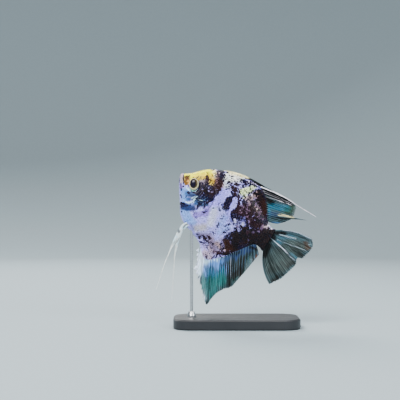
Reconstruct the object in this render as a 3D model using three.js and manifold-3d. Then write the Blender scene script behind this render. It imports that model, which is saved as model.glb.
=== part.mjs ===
// A marble angelfish, life size, held nose-up on a plain display stand.
// The fish is drawn level in its own frame: x runs from the snout to the tail, z towards the back, and y is
// across the body, with the fish's left side at -y. It is then turned nose-up and set over the stand.
// Millimetres, +Z up. The origin is the middle of the underside of the stand's base.
import * as THREE from "three";
import { mergeVertices } from "three/addons/utils/BufferGeometryUtils.js";
import Module from "manifold-3d";

const wasm = await Module();
wasm.setup();

// ---------------------------------------------------------------- driving sizes

const STANDARD_LENGTH = 85; // snout to the root of the tail fin
const PITCH = THREE.MathUtils.degToRad(32); // how far the snout is lifted
const SNOUT = new THREE.Vector3(-44, 0, 116.2); // where the snout is held over the base
const GAP = 0.3; // between neighbouring pieces
const BODY_RINGS = 40;
const BODY_SIDES = 24;
const CUT_REACH = 60; // length of a cutting prism, well over the body's thickness

const EYE = { x: 11.9, z: 1.6, radius: 4.7, depth: 2.5, sunk: 1.35, turn: THREE.MathUtils.degToRad(14) };
const GILL_COVER_THICKNESS = 1.2;
const FIN_MARGIN_HALF = 0.28; // half the thickness of a fin's outer edge
const THREAD_HALF = 0.3; // half the thickness of a fin's thread

const BASE = { length: 98, width: 52, height: 8, corner: 14, bevel: 1 };
const ROD = { x: -35, radius: 1.25, foot: 3, top: 78.5, sides: 20 };
const COLLAR = { radius: 3.4, height: 4.2, lip: 1 };

const COLOURS = {
  skin: 0xcfcbe6,
  crown: 0xe9cf74,
  cheek: 0x9db4d8,
  dark: 0x2a2024,
  fin: 0x8b9aa0,
  ray: 0xdfe6ee,
  eye: 0x15101a,
  stand: 0x2b2c30,
  rod: 0xb9bcc2,
};

// ---------------------------------------------------------------- curves

// A smooth function through [position, value...] keys: each stretch is a cubic whose slopes at its two keys
// are those of the neighbouring keys. Beyond the ends it holds the end value.
function through(keys) {
  const at = (i) => keys[Math.min(Math.max(i, 0), keys.length - 1)];
  const slope = (i, k) => (at(i + 1)[k] - at(i - 1)[k]) / (at(i + 1)[0] - at(i - 1)[0]);
  return (position) => {
    const p = Math.min(Math.max(position, keys[0][0]), keys[keys.length - 1][0]);
    let i = 0;
    while (i < keys.length - 2 && p > keys[i + 1][0]) i += 1;
    const width = at(i + 1)[0] - at(i)[0];
    const t = (p - at(i)[0]) / width;
    const value = (k) =>
      at(i)[k] * (2 * t ** 3 - 3 * t ** 2 + 1) +
      slope(i, k) * width * (t ** 3 - 2 * t ** 2 + t) +
      at(i + 1)[k] * (3 * t ** 2 - 2 * t ** 3) +
      slope(i + 1, k) * width * (t ** 3 - t ** 2);
    return keys[0].length === 2 ? value(1) : keys[0].slice(1).map((_, k) => value(k + 1));
  };
}

// The body's outline from the side, its half width, and the height where it is widest: [x, value].
const back = through([
  [-1, 2.6], [-0.4, 3.9], [1.6, 5.0], [4, 6.8], [6.2, 8.4], [8.5, 10.9], [11.3, 13.9], [15, 17.2],
  [19, 19.8], [24.6, 22.5], [30.5, 24.3], [38, 26.3], [46, 27.5], [52, 27.8], [56, 27.5], [60, 26.1],
  [64, 23.2], [66.8, 20.4], [71.7, 13.4], [76.4, 7.3], [80.5, 5.0], [STANDARD_LENGTH, 5.6],
]);
const belly = through([
  [-1, 1.6], [-0.4, 0.2], [0.6, -2.2], [2, -4.5], [4.5, -8.3], [9.1, -14.8], [12, -19.4], [14.9, -23.4],
  [18.3, -26.3], [21, -27.8], [26, -29.8], [30.7, -31.4], [35.2, -32.8], [39.8, -35.2], [44, -39.5],
  [48, -42.8], [52, -42.8], [56, -39.6], [62.2, -33], [66.2, -27.3], [71.3, -19.8], [76.5, -13.2],
  [80.8, -13.0], [STANDARD_LENGTH, -14.6],
]);
const halfWidth = through([
  [-1, 1.1], [1, 2.1], [4, 3.2], [8, 4.6], [13, 5.9], [20, 6.8], [27, 7.2], [38, 6.9], [50, 5.8],
  [60, 4.5], [70, 3.1], [78, 2.2], [STANDARD_LENGTH, 1.5],
]);
const widest = through([
  [-1, 2], [5, -0.5], [12, -3], [25, -5], [45, -4], [65, -2.5], [STANDARD_LENGTH, -4.5],
]);

// How far the thin scaled sheath of the dorsal and anal fins stands beyond the flesh: [x, height].
const backSheath = through([[28, 0], [38, 2.5], [48, 6], [58, 9.5], [66, 8.5], [74, 2.5], [80, 0]]);
const bellySheath = through([[34, 0], [42, 4.5], [49, 10], [54, 9.5], [62, 7.5], [70, 3.5], [77, 0]]);
const SHEATH = { edge: 0.55, root: 0.5, lens: 0.62 };

// Half the body's thickness at a place on its side: a lens of flesh, run together with the sheath.
function halfThickness(x, z) {
  const middle = widest(x);
  const above = z > middle;
  const rim = above ? back(x) : belly(x);
  const flesh = above ? rim - backSheath(x) : rim + bellySheath(x);
  const share = (z - middle) / (flesh - middle);
  const lens = halfWidth(x) * Math.max(0, 1 - share ** 2) ** SHEATH.lens;
  const fromRim = Math.min(1, Math.abs(rim - z) / 8);
  return Math.hypot(lens, SHEATH.edge + SHEATH.root * fromRim);
}

// ---------------------------------------------------------------- solids

function solid(geometry) {
  const bare = geometry.clone();
  bare.deleteAttribute("normal");
  bare.deleteAttribute("uv");
  const merged = mergeVertices(bare, 1e-3);
  return new wasm.Manifold(
    new wasm.Mesh({
      numProp: 3,
      vertProperties: new Float32Array(merged.attributes.position.array),
      triVerts: new Uint32Array(merged.index.array),
    }),
  );
}

function geometryOf(made) {
  const mesh = made.getMesh();
  const geometry = new THREE.BufferGeometry();
  geometry.setAttribute("position", new THREE.BufferAttribute(new Float32Array(mesh.vertProperties), 3));
  geometry.setIndex(new THREE.BufferAttribute(new Uint32Array(mesh.triVerts), 1));
  geometry.computeVertexNormals();
  return geometry;
}

// A closed outline of [x, z] points, carried right through the body along y.
function prism(outline) {
  const shape = new THREE.Shape(outline.map(([x, z]) => new THREE.Vector2(x, z)));
  const geometry = new THREE.ExtrudeGeometry(shape, { depth: CUT_REACH, bevelEnabled: false });
  return solid(geometry.translate(0, 0, -CUT_REACH / 2).rotateX(Math.PI / 2));
}

// [x, z] points at even steps on the curve through some keys.
function alongCurve(keys, steps) {
  const curve = new THREE.SplineCurve(keys.map(([x, z]) => new THREE.Vector2(x, z)));
  return curve.getPoints(steps).map((p) => [p.x, p.y]);
}

// A line of points moved sideways by a distance.
function beside(line, distance) {
  return line.map(([x, z], i) => {
    const [ax, az] = line[Math.max(i - 1, 0)];
    const [bx, bz] = line[Math.min(i + 1, line.length - 1)];
    const length = Math.hypot(bx - ax, bz - az);
    return [x - ((bz - az) / length) * distance, z + ((bx - ax) / length) * distance];
  });
}

// A thin cut through the body along a line.
function cutAlong(line) {
  return prism([...beside(line, GAP / 2), ...beside(line, -GAP / 2).reverse()]);
}

// The whole body, thinner by an inset: a sphere whose rows become the body's rings, and whose poles become
// the snout and the middle of the tail's end.
function bodySolid(inset = 0) {
  const geometry = new THREE.SphereGeometry(1, BODY_SIDES, BODY_RINGS);
  const position = geometry.getAttribute("position");
  for (let i = 0; i < position.count; i += 1) {
    const row = Math.floor(i / (BODY_SIDES + 1));
    const turn = ((i % (BODY_SIDES + 1)) / BODY_SIDES) * 2 * Math.PI;
    const share = Math.min(Math.max(row - 1, 0) / (BODY_RINGS - 2), 1);
    const x = -0.9 + (STANDARD_LENGTH + 0.9) * share ** 1.15;
    const middle = widest(x);
    if (row === 0 || row === BODY_RINGS) {
      position.setXYZ(i, row === 0 ? -1.3 : x, 0, (back(x) + belly(x)) / 2);
      continue;
    }
    const rise = Math.sin(turn);
    const reach = rise > 0 ? back(x) - middle : middle - belly(x);
    const z = middle + reach * rise;
    const side = -Math.sign(Math.round(Math.cos(turn) * 1e6));
    position.setXYZ(i, x, side * Math.max(halfThickness(x, z) - inset, 0.2), z);
  }
  return solid(geometry);
}

// ---------------------------------------------------------------- lines that divide the body

const gillOpening = alongCurve(
  [
    [16.5, 25], [20.8, 17], [24.5, 10.8], [28.3, 6.5], [30.8, 0.5], [31.4, -6.5], [30, -13.6],
    [26.6, -20.2], [22, -25.6], [18.5, -30],
  ],
  24,
);
const cheekEdge = alongCurve(
  [
    [21.4, 9.5], [19.9, 3], [19.4, -5.5], [18.6, -9.6], [16.8, -13], [13.9, -14.4], [11.2, -15.4],
    [8.5, -20],
  ],
  15,
);
const gillCoverBack = gillOpening.slice(5, 23);
const tailRoot = alongCurve([[73.5, 14], [78, 2], [79, -5], [78, -12], [74.5, -20]], 10);

const lowerJawOutline = [
  [-4, 3.4], [0.1, 3.3], [2.1, 0.4], [4.9, -3.2], [6.6, -5.6], [4.2, -10], [-4, -8],
];
const upperJawOutline = [
  [-4, 3.7], [0.3, 3.6], [2.4, 0.7], [5.2, -2.9], [6.4, -2.2], [4.2, 1.8], [2.4, 6.6], [-4, 8],
];
const jawClearance = [
  [-4, 3.4], [-4, 8], [2.7, 6.9], [4.5, 1.9], [6.9, -2.3], [7, -5.7], [4.4, -10.4], [-4, -9],
];

// ---------------------------------------------------------------- fins

// A fin is a sheet of rays. Each key is one ray, [share along the root, root x, root z, tip x, tip z, bow],
// and the rays between the keys follow smoothly. bow is how far the ray's middle stands off its chord.
function raySheet(keys) {
  const ray = through(keys);
  return (s, r) => {
    const [rootX, rootZ, tipX, tipZ, bow] = ray(s);
    const length = Math.hypot(tipX - rootX, tipZ - rootZ);
    const off = 4 * bow * r * (1 - r);
    return [
      rootX + (tipX - rootX) * r - ((tipZ - rootZ) / length) * off,
      rootZ + (tipZ - rootZ) * r + ((tipX - rootX) / length) * off,
    ];
  };
}

// A thin closed plate on a surface given as surface(s, r) -> Vector3; half(s, r) is half its thickness.
function plate(surface, half, columns, rows) {
  const geometry = new THREE.BoxGeometry(1, 1, 1, columns, rows, 1);
  const position = geometry.getAttribute("position");
  const step = 1e-3;
  const within = (v) => Math.min(Math.max(v, step), 1 - step);
  for (let i = 0; i < position.count; i += 1) {
    const s = position.getX(i) + 0.5;
    const r = position.getY(i) + 0.5;
    const side = Math.sign(position.getZ(i));
    const along = surface(within(s) + step, r).sub(surface(within(s) - step, r));
    const out = surface(s, within(r) + step).sub(surface(s, within(r) - step));
    const normal = along.cross(out).normalize();
    const place = surface(s, r).addScaledVector(normal, side * half(s, r));
    position.setXYZ(i, place.x, place.y, place.z);
  }
  return solid(geometry);
}

// A tapering blade along a line of [share, x, y, z, width] keys, flat across y.
function blade(keys, half, rows) {
  const line = through(keys);
  const surface = (s, r) => {
    const [x, y, z, width] = line(r);
    const [bx, , bz] = line(Math.min(r + 0.01, 1));
    const [ax, , az] = line(Math.max(r - 0.01, 0));
    const length = Math.hypot(bx - ax, bz - az);
    const across = (s - 0.5) * width;
    return new THREE.Vector3(x - ((bz - az) / length) * across, y, z + ((bx - ax) / length) * across);
  };
  return plate(surface, (s, r) => half(r), 2, rows);
}

// A point just outside an outline of the body, which a fin's root keeps clear of.
function outside(outline, x, sign) {
  const slope = (outline(x + 0.1) - outline(x - 0.1)) / 0.2;
  const length = Math.hypot(1, slope);
  return [x - (sign * slope * GAP) / length, outline(x) + (sign * GAP) / length];
}

// Ray keys from [share, root x on the outline, tip x, tip z, bow].
const rooted = (outline, sign, keys) =>
  keys.map(([s, x, tipX, tipZ, bow]) => [s, ...outside(outline, x, sign), tipX, tipZ, bow]);

// How far a fin stands out of the body's plane: a sway that grows to the tips, and ripples along the fin.
const sideways = (sway, ripple, waves) => (s, r) =>
  sway * r ** 2 + ripple * r * Math.sin(waves * Math.PI * s);

// Half a fin's thickness, which thins out over the first stretch of its rays.
const THINNING = 1.6;
const finHalf = (root) => (s, r) => root + (FIN_MARGIN_HALF - root) * Math.min(1, r * THINNING);

const dorsalRays = rooted(back, 1, [
  [0, 27, 30, 25.4, 0], [0.12, 32, 37, 27.4, 0.1], [0.25, 38, 45, 28.9, 0.2], [0.38, 45, 54, 29.5, 0.3],
  [0.5, 51.5, 66, 29.7, 0.4], [0.58, 56, 79, 30.5, 0.5], [0.66, 60, 87, 29.7, 0.5],
  [0.73, 63.5, 89.5, 27.8, 0.4], [0.79, 66.5, 90.4, 25.2, 0.2], [0.85, 69.5, 91, 22.2, 0],
  [0.9, 72, 91, 19.2, -0.2], [0.95, 74.2, 88, 14.6, -0.3], [1, 76.4, 83.5, 10, -0.2],
]);
const dorsalBend = sideways(1.6, 0.7, 3);
const dorsalFilament = [
  [0, 60, 0, 27.9, 1.6], [0.3, 71.6, 0.4, 29.9, 1.5], [0.55, 82.2, 1.1, 30.6, 1.3],
  [0.8, 94.5, 2.2, 30.5, 0.9], [1, 106.4, 3.4, 30.6, 0.6],
];
const dorsalSpike = [
  [0, 81, 0.6, 16.6, 1.8], [0.4, 89, 1.2, 20, 1.9], [1, 101.6, 2.4, 25, 0.6],
];

const analRays = rooted(belly, -1, [
  [0, 40.4, 42.6, -40.2, 0], [0.08, 42.4, 45.6, -47, 0.2], [0.16, 44.6, 49, -53.6, 0.4],
  [0.24, 46.9, 53.2, -58.6, 0.5], [0.32, 49.2, 60, -65, 0.5], [0.4, 51.6, 66, -70.4, 0.4],
  [0.46, 53.6, 70, -72.6, 0.3], [0.52, 55.8, 70.6, -66.8, 0.2], [0.6, 58.8, 71.8, -61.2, 0],
  [0.68, 62.2, 74.8, -55.8, -0.2], [0.76, 65.4, 78.8, -51, -0.3], [0.84, 69, 80.4, -43.4, -0.3],
  [0.92, 72.8, 81.2, -32.6, -0.2], [1, 76.4, 80.8, -19, 0],
]);
const analBend = sideways(-1.4, 0.8, 4);

const tailRootX = STANDARD_LENGTH + GAP;
const caudalRays = [
  [0, tailRootX, 5.5, 112, 14.4, 2.2], [0.12, tailRootX, 3.4, 115.2, 11.4, 1.6],
  [0.24, tailRootX, 1.2, 116, 7.6, 1], [0.35, tailRootX, -1.1, 115.2, 2.2, 0.5],
  [0.43, tailRootX, -3, 114.2, -2.4, 0.2], [0.49, tailRootX, -4.4, 110.8, -4.6, 0],
  [0.56, tailRootX, -5.8, 112.2, -9, -0.2], [0.7, tailRootX, -8.8, 110.4, -17.6, -0.8],
  [0.85, tailRootX, -11.8, 107.9, -25.7, -1.5], [1, tailRootX, -14.5, 102.8, -33.4, -2.3],
];
const caudalBend = sideways(-3.2, 1.1, 5);

const inBodyPlane = (sheet, bend) => (s, r) => {
  const [x, z] = sheet(s, r);
  return new THREE.Vector3(x, bend(s, r), z);
};

// A breast fin: a fan that leaves the flank behind the gill cover and swings out and back.
const PECTORAL = {
  x: 33.4,
  z: -6.4,
  clear: 0.85, // from the flank to the middle of the fin's root
  root: 4.6,
  length: 21,
  lean: -0.25,
  spread: [0.46, -0.66],
  out: 0.5,
};
function pectoralSurface(side) {
  const [upper, lower] = PECTORAL.spread;
  const start = halfThickness(PECTORAL.x, PECTORAL.z) + PECTORAL.clear;
  return (s, r) => {
    const angle = PECTORAL.lean + THREE.MathUtils.lerp(upper, lower, s);
    const reach = PECTORAL.length * Math.sin(Math.PI * (0.15 + 0.72 * s)) ** 0.7 * r;
    const z = PECTORAL.z + PECTORAL.root * (0.5 - s) + Math.sin(angle) * reach;
    const cup = PECTORAL.out * reach - 0.012 * reach ** 2 + 0.9 * Math.sin(Math.PI * s) * r;
    return new THREE.Vector3(PECTORAL.x + Math.cos(angle) * reach * 0.86, side * (start + cup), z);
  };
}

// The belly fins end in long threads: [share, x, y, z, width].
const pelvicLeft = [
  [0, 22.6, -1.9, -29.6, 4.4], [0.07, 21.4, -2.6, -34.6, 3.9], [0.18, 22.2, -3.5, -42.5, 2.4],
  [0.32, 23.3, -4.4, -51.2, 1.4], [0.55, 25.3, -5.4, -63, 1], [1, 30.2, -7.2, -82.9, 0.6],
];
const pelvicRight = [
  [0, 23.2, 1.9, -29.8, 4.4], [0.07, 22.6, 2.5, -34.4, 3.8], [0.18, 24.8, 3.2, -42.8, 2.4],
  [0.32, 27.7, 3.9, -51.6, 1.3], [0.55, 33.3, 4.6, -62.4, 0.9], [1, 46.1, 6.2, -86.5, 0.6],
];
const PELVIC_ROOT_HALF = 0.62;
const pelvicHalf = (r) => PELVIC_ROOT_HALF + (FIN_MARGIN_HALF - PELVIC_ROOT_HALF) * Math.min(1, r * 2.2);

// ---------------------------------------------------------------- the fish

function named(name, made, colour, roughness = 0.4) {
  const material = new THREE.MeshStandardMaterial({ color: colour, roughness, metalness: 0 });
  const mesh = new THREE.Mesh(geometryOf(made), material);
  mesh.name = name;
  return mesh;
}

function eyeSolid(side, extra) {
  const geometry = new THREE.SphereGeometry(1, 16, 10).rotateX(Math.PI / 2);
  geometry.scale(EYE.radius + extra, EYE.depth + extra, EYE.radius + extra);
  geometry.rotateZ(side * EYE.turn);
  const deep = halfThickness(EYE.x, EYE.z) - EYE.sunk;
  return solid(geometry.translate(EYE.x, side * deep, EYE.z));
}

// One side of space, used to keep a single gill cover out of a pair.
function halfSpace(side) {
  const geometry = new THREE.BoxGeometry(4 * STANDARD_LENGTH, CUT_REACH, 4 * STANDARD_LENGTH);
  return solid(geometry.translate(0, (side * CUT_REACH) / 2 + side * GAP, 0));
}

// The pieces of a cut solid, smallest first.
const bySize = (made) => made.decompose().sort((a, b) => a.volume() - b.volume());
const largest = (made) => bySize(made).pop();

function fishPieces(rodHole) {
  const body = bodySolid();
  const sockets = [-1, 1].map((side) => eyeSolid(side, GAP));
  const [front, behind] = bySize(body.subtract(cutAlong(gillOpening)));

  const coverRegion = prism([...cheekEdge, ...[...gillCoverBack].reverse()]);
  const coverClearance = prism([...beside(cheekEdge, -GAP), ...[...gillCoverBack].reverse()]);
  const covers = front.intersect(coverRegion).subtract(bodySolid(GILL_COVER_THICKNESS));
  const underCovers = bodySolid(GILL_COVER_THICKNESS + GAP);

  let head = front.subtract(coverClearance.subtract(underCovers));
  const lowerJaw = largest(head.intersect(prism(lowerJawOutline)));
  const upperJaw = largest(head.intersect(prism(upperJawOutline)));
  head = largest(head.subtract(prism(jawClearance)));
  sockets.forEach((socket) => {
    head = head.subtract(socket);
  });

  const [tailStem, trunk] = bySize(behind.subtract(cutAlong(tailRoot)));

  const dorsal = plate(inBodyPlane(raySheet(dorsalRays), dorsalBend), finHalf(0.5), 26, 4)
    .add(blade(dorsalFilament, () => THREAD_HALF, 10))
    .add(blade(dorsalSpike, () => THREAD_HALF, 6));
  const anal = plate(inBodyPlane(raySheet(analRays), analBend), finHalf(0.5), 24, 5);
  const caudal = plate(inBodyPlane(raySheet(caudalRays), caudalBend), finHalf(0.7), 24, 6);

  const pieces = [
    named("head", head, COLOURS.crown),
    named("upper_jaw", upperJaw, COLOURS.crown),
    named("lower_jaw", lowerJaw, COLOURS.skin),
    named("trunk", trunk.subtract(rodHole), COLOURS.skin),
    named("tail_stem", tailStem, COLOURS.dark),
    named("dorsal_fin", dorsal, COLOURS.fin),
    named("anal_fin", anal, COLOURS.fin),
    named("caudal_fin", caudal, COLOURS.fin),
    named("pelvic_fin_left", blade(pelvicLeft, pelvicHalf, 18), COLOURS.ray),
    named("pelvic_fin_right", blade(pelvicRight, pelvicHalf, 18), COLOURS.ray),
  ];
  for (const [label, side] of [["left", -1], ["right", 1]]) {
    pieces.push(named(`eye_${label}`, eyeSolid(side, 0), COLOURS.eye, 0.08));
    pieces.push(named(`gill_cover_${label}`, largest(covers.intersect(halfSpace(side))), COLOURS.cheek));
    pieces.push(
      named(`pectoral_fin_${label}`, plate(pectoralSurface(side), finHalf(0.4), 12, 4), COLOURS.fin),
    );
  }
  return pieces;
}

// ---------------------------------------------------------------- the stand

function rodSolid(extra, from, to) {
  const geometry = new THREE.CylinderGeometry(ROD.radius + extra, ROD.radius + extra, to - from, ROD.sides);
  return solid(geometry.rotateX(Math.PI / 2).translate(ROD.x, 0, (from + to) / 2));
}

function baseSolid() {
  const halfLength = BASE.length / 2 - BASE.bevel;
  const halfBreadth = BASE.width / 2 - BASE.bevel;
  const shape = new THREE.Shape();
  shape.moveTo(-halfLength + BASE.corner, -halfBreadth);
  for (const [x, y, start] of [[1, -1, -90], [1, 1, 0], [-1, 1, 90], [-1, -1, 180]]) {
    const from = THREE.MathUtils.degToRad(start);
    const centre = [x * (halfLength - BASE.corner), y * (halfBreadth - BASE.corner)];
    shape.absarc(...centre, BASE.corner, from, from + Math.PI / 2, false);
  }
  const geometry = new THREE.ExtrudeGeometry(shape, {
    depth: BASE.height - 2 * BASE.bevel,
    bevelThickness: BASE.bevel,
    bevelSize: BASE.bevel,
    bevelSegments: 1,
    curveSegments: 6,
  });
  return solid(geometry.translate(0, 0, BASE.bevel)).subtract(rodSolid(GAP / 2, ROD.foot, 2 * BASE.height));
}

// A turned ring that hides where the rod enters the base.
function collarSolid() {
  const bore = ROD.radius + GAP / 2;
  const profile = [[bore, 0], [COLLAR.radius, 0], [COLLAR.radius, COLLAR.lip], [bore + 0.9, COLLAR.height],
    [bore, COLLAR.height], [bore, 0]];
  const geometry = new THREE.LatheGeometry(profile.map(([r, z]) => new THREE.Vector2(r, z)), ROD.sides);
  return solid(geometry.rotateX(Math.PI / 2).translate(ROD.x, 0, BASE.height));
}

function standPieces() {
  const pieces = [
    named("stand_base", baseSolid(), COLOURS.stand, 0.5),
    named("stand_rod", rodSolid(0, ROD.foot, ROD.top), COLOURS.rod, 0.3),
    named("stand_collar", collarSolid(), COLOURS.rod, 0.3),
  ];
  pieces.slice(1).forEach((piece) => {
    piece.material.metalness = 1;
  });
  return pieces;
}

// ---------------------------------------------------------------- the part

const fish = new THREE.Group();
fish.position.copy(SNOUT);
fish.rotation.y = PITCH;
fish.updateMatrixWorld(true);

const rodInFishFrame = geometryOf(rodSolid(GAP, ROD.foot, ROD.top + GAP)).applyMatrix4(
  fish.matrixWorld.clone().invert(),
);
fish.add(...fishPieces(solid(rodInFishFrame)));

const part = new THREE.Group();
part.add(fish, ...standPieces());

export default part;
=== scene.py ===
import logging
import math
from dataclasses import dataclass, field
from enum import Enum, IntEnum
from typing import Callable, Sequence, Union

import bpy
import numpy as np
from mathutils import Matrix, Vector


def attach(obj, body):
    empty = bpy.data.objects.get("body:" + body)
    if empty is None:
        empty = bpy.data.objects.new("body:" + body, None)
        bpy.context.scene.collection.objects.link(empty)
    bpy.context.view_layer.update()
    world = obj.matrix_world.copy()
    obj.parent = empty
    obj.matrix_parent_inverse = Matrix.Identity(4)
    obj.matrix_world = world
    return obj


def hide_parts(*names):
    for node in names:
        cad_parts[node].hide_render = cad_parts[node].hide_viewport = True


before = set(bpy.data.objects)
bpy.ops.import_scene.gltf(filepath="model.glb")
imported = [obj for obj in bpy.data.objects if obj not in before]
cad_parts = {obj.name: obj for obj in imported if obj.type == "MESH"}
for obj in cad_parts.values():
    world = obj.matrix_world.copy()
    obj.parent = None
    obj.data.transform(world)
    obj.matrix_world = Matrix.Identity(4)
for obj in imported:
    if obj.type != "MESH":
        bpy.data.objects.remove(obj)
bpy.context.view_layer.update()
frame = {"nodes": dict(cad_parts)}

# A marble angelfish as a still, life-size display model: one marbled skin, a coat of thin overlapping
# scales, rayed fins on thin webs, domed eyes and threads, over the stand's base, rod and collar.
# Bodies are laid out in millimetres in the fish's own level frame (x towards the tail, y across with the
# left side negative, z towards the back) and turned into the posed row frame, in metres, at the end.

log = logging.getLogger("angelfish")

Array = np.ndarray
Stroke = tuple[float, float, float, float, float]  # from x, y to x, y, and width
Keys = Sequence[Sequence[float]]
Lines = list[tuple[Array, Array]]  # groups of like lines: their places and their radii
Paint = Callable[[Array], Array]  # linear colours at places in the fish's own frame
Piece = bpy.types.Object
Material = bpy.types.Material
Node = bpy.types.Node
Socket = bpy.types.NodeSocket
Value = Union[float, tuple, Socket]
Colour = tuple[float, float, float, float]

MM = 0.001
STANDARD_LENGTH = 85.0  # snout to the root of the tail fin
SNOUT_END = -0.9
PITCH = math.radians(32)  # how far the snout is lifted
SNOUT = np.array([-44.0, 0.0, 116.2])  # where the snout is held over the base
GAP = 0.3  # between a fin's root and the body's outline
COAT_DEPTH = 0.25  # how far the skin lies inside the solids


class Side(IntEnum):
    """The fish's sides, by their sign across it."""

    LEFT = -1
    RIGHT = 1

    @property
    def label(self) -> str:
        """The side's name, which pieces are called after."""
        return self.name.lower()


# ---------------------------------------------------------------- shapes and numbers


class Curve:
    """A smooth line through [position, value...] keys, holding its end values beyond them."""

    def __init__(self, keys: Keys) -> None:
        """Stores the keys and the slope at each.

        Args:
            keys: rows of a position and one or more values, in order of position.
        """
        rows = np.asarray(keys, float)
        self.places = rows[:, 0]
        self.values = rows[:, 1:]
        before = np.maximum(np.arange(len(rows)) - 1, 0)
        after = np.minimum(np.arange(len(rows)) + 1, len(rows) - 1)
        run = (self.places[after] - self.places[before])[:, None]
        self.slopes = (self.values[after] - self.values[before]) / run

    def __call__(self, position: Array | float) -> Array:
        """Reads the line.

        Args:
            position: one place or an array of them.

        Returns:
            The values there: one column is dropped, more are kept on the last axis.
        """
        p = np.clip(np.asarray(position, float), self.places[0], self.places[-1])
        i = np.clip(np.searchsorted(self.places, p) - 1, 0, len(self.places) - 2)
        width = (self.places[i + 1] - self.places[i])[..., None]
        t = (p - self.places[i])[..., None] / width
        value = (
            self.values[i] * (2 * t**3 - 3 * t**2 + 1)
            + self.slopes[i] * width * (t**3 - 2 * t**2 + t)
            + self.values[i + 1] * (3 * t**2 - 2 * t**3)
            + self.slopes[i + 1] * width * (t**3 - t**2)
        )
        return value[..., 0] if value.shape[-1] == 1 else value


class Grain:
    """A smooth random field on the plane, the same on every run."""

    SIZE = 256

    def __init__(self, seed: int) -> None:
        """Draws the field's values.

        Args:
            seed: which field it is.
        """
        self.table = np.random.default_rng(seed).standard_normal((self.SIZE, self.SIZE))

    def __call__(self, u: Array, v: Array, size: float) -> Array:
        """Reads the field.

        Args:
            u, v: places.
            size: how far apart its bumps are.

        Returns:
            Values of about -2 to 2.
        """
        a, b = u / size, v / size
        i, j = np.floor(a).astype(int), np.floor(b).astype(int)
        f, g = a - i, b - j
        f, g = f * f * (3 - 2 * f), g * g * (3 - 2 * g)

        def node(di: int, dj: int) -> Array:
            """Returns the values at one corner of each place's cell."""
            return self.table[(j + dj) % self.SIZE, (i + di) % self.SIZE]

        low = node(0, 0) * (1 - f) + node(1, 0) * f
        high = node(0, 1) * (1 - f) + node(1, 1) * f
        return low * (1 - g) + high * g


def smooth(low: float, high: float, value: Array) -> Array:
    """Returns 0 below low, 1 above high, and an even S between them."""
    t = np.clip((value - low) / (high - low), 0, 1)
    return t * t * (3 - 2 * t)


def bell(value: Array, width: float) -> Array:
    """Returns a rounded bump of height 1 and about the given half width."""
    return np.exp(-((value / width) ** 2))


def blend(first: Array, second: Array, share: Array) -> Array:
    """Returns first where share is 0 and second where it is 1."""
    return first * (1 - share) + second * share


def spline(points: Keys, steps: int) -> Array:
    """Draws a smooth open line through a few points.

    Args:
        points: its [x, z] points.
        steps: how many pieces to cut it into.

    Returns:
        One row a place, from end to end.
    """
    keyed = [[float(i), *point] for i, point in enumerate(points)]
    return Curve(keyed)(np.linspace(0, len(points) - 1, steps + 1))


def line_distance(x: Array, z: Array, line: Array) -> tuple[Array, Array]:
    """Measures places against an open line.

    Args:
        x, z: the places.
        line: the line's points, one a row.

    Returns:
        The distance, positive on the line's left as it is walked, and the share of the line passed.
    """
    best = np.full(np.shape(x), np.inf)
    side = np.ones(np.shape(x))
    share = np.zeros(np.shape(x))
    for i, (start, end) in enumerate(zip(line[:-1], line[1:])):
        along = end - start
        t = np.clip(((x - start[0]) * along[0] + (z - start[1]) * along[1]) / (along @ along), 0, 1)
        dx, dz = x - start[0] - t * along[0], z - start[1] - t * along[1]
        distance = np.hypot(dx, dz)
        nearer = distance < best
        best = np.where(nearer, distance, best)
        side = np.where(nearer, np.sign(along[0] * dz - along[1] * dx), side)
        share = np.where(nearer, (i + t) / (len(line) - 1), share)
    return best * side, share


def to_row(points: Array) -> Array:
    """Turns places in the fish's own frame, in mm, into the posed row frame, in metres."""
    x, y, z = points[..., 0], points[..., 1], points[..., 2]
    turned = np.stack(
        [x * math.cos(PITCH) + z * math.sin(PITCH), y, -x * math.sin(PITCH) + z * math.cos(PITCH)], -1
    )
    return (turned + SNOUT) * MM


# ---------------------------------------------------------------- pigments and markings


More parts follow.
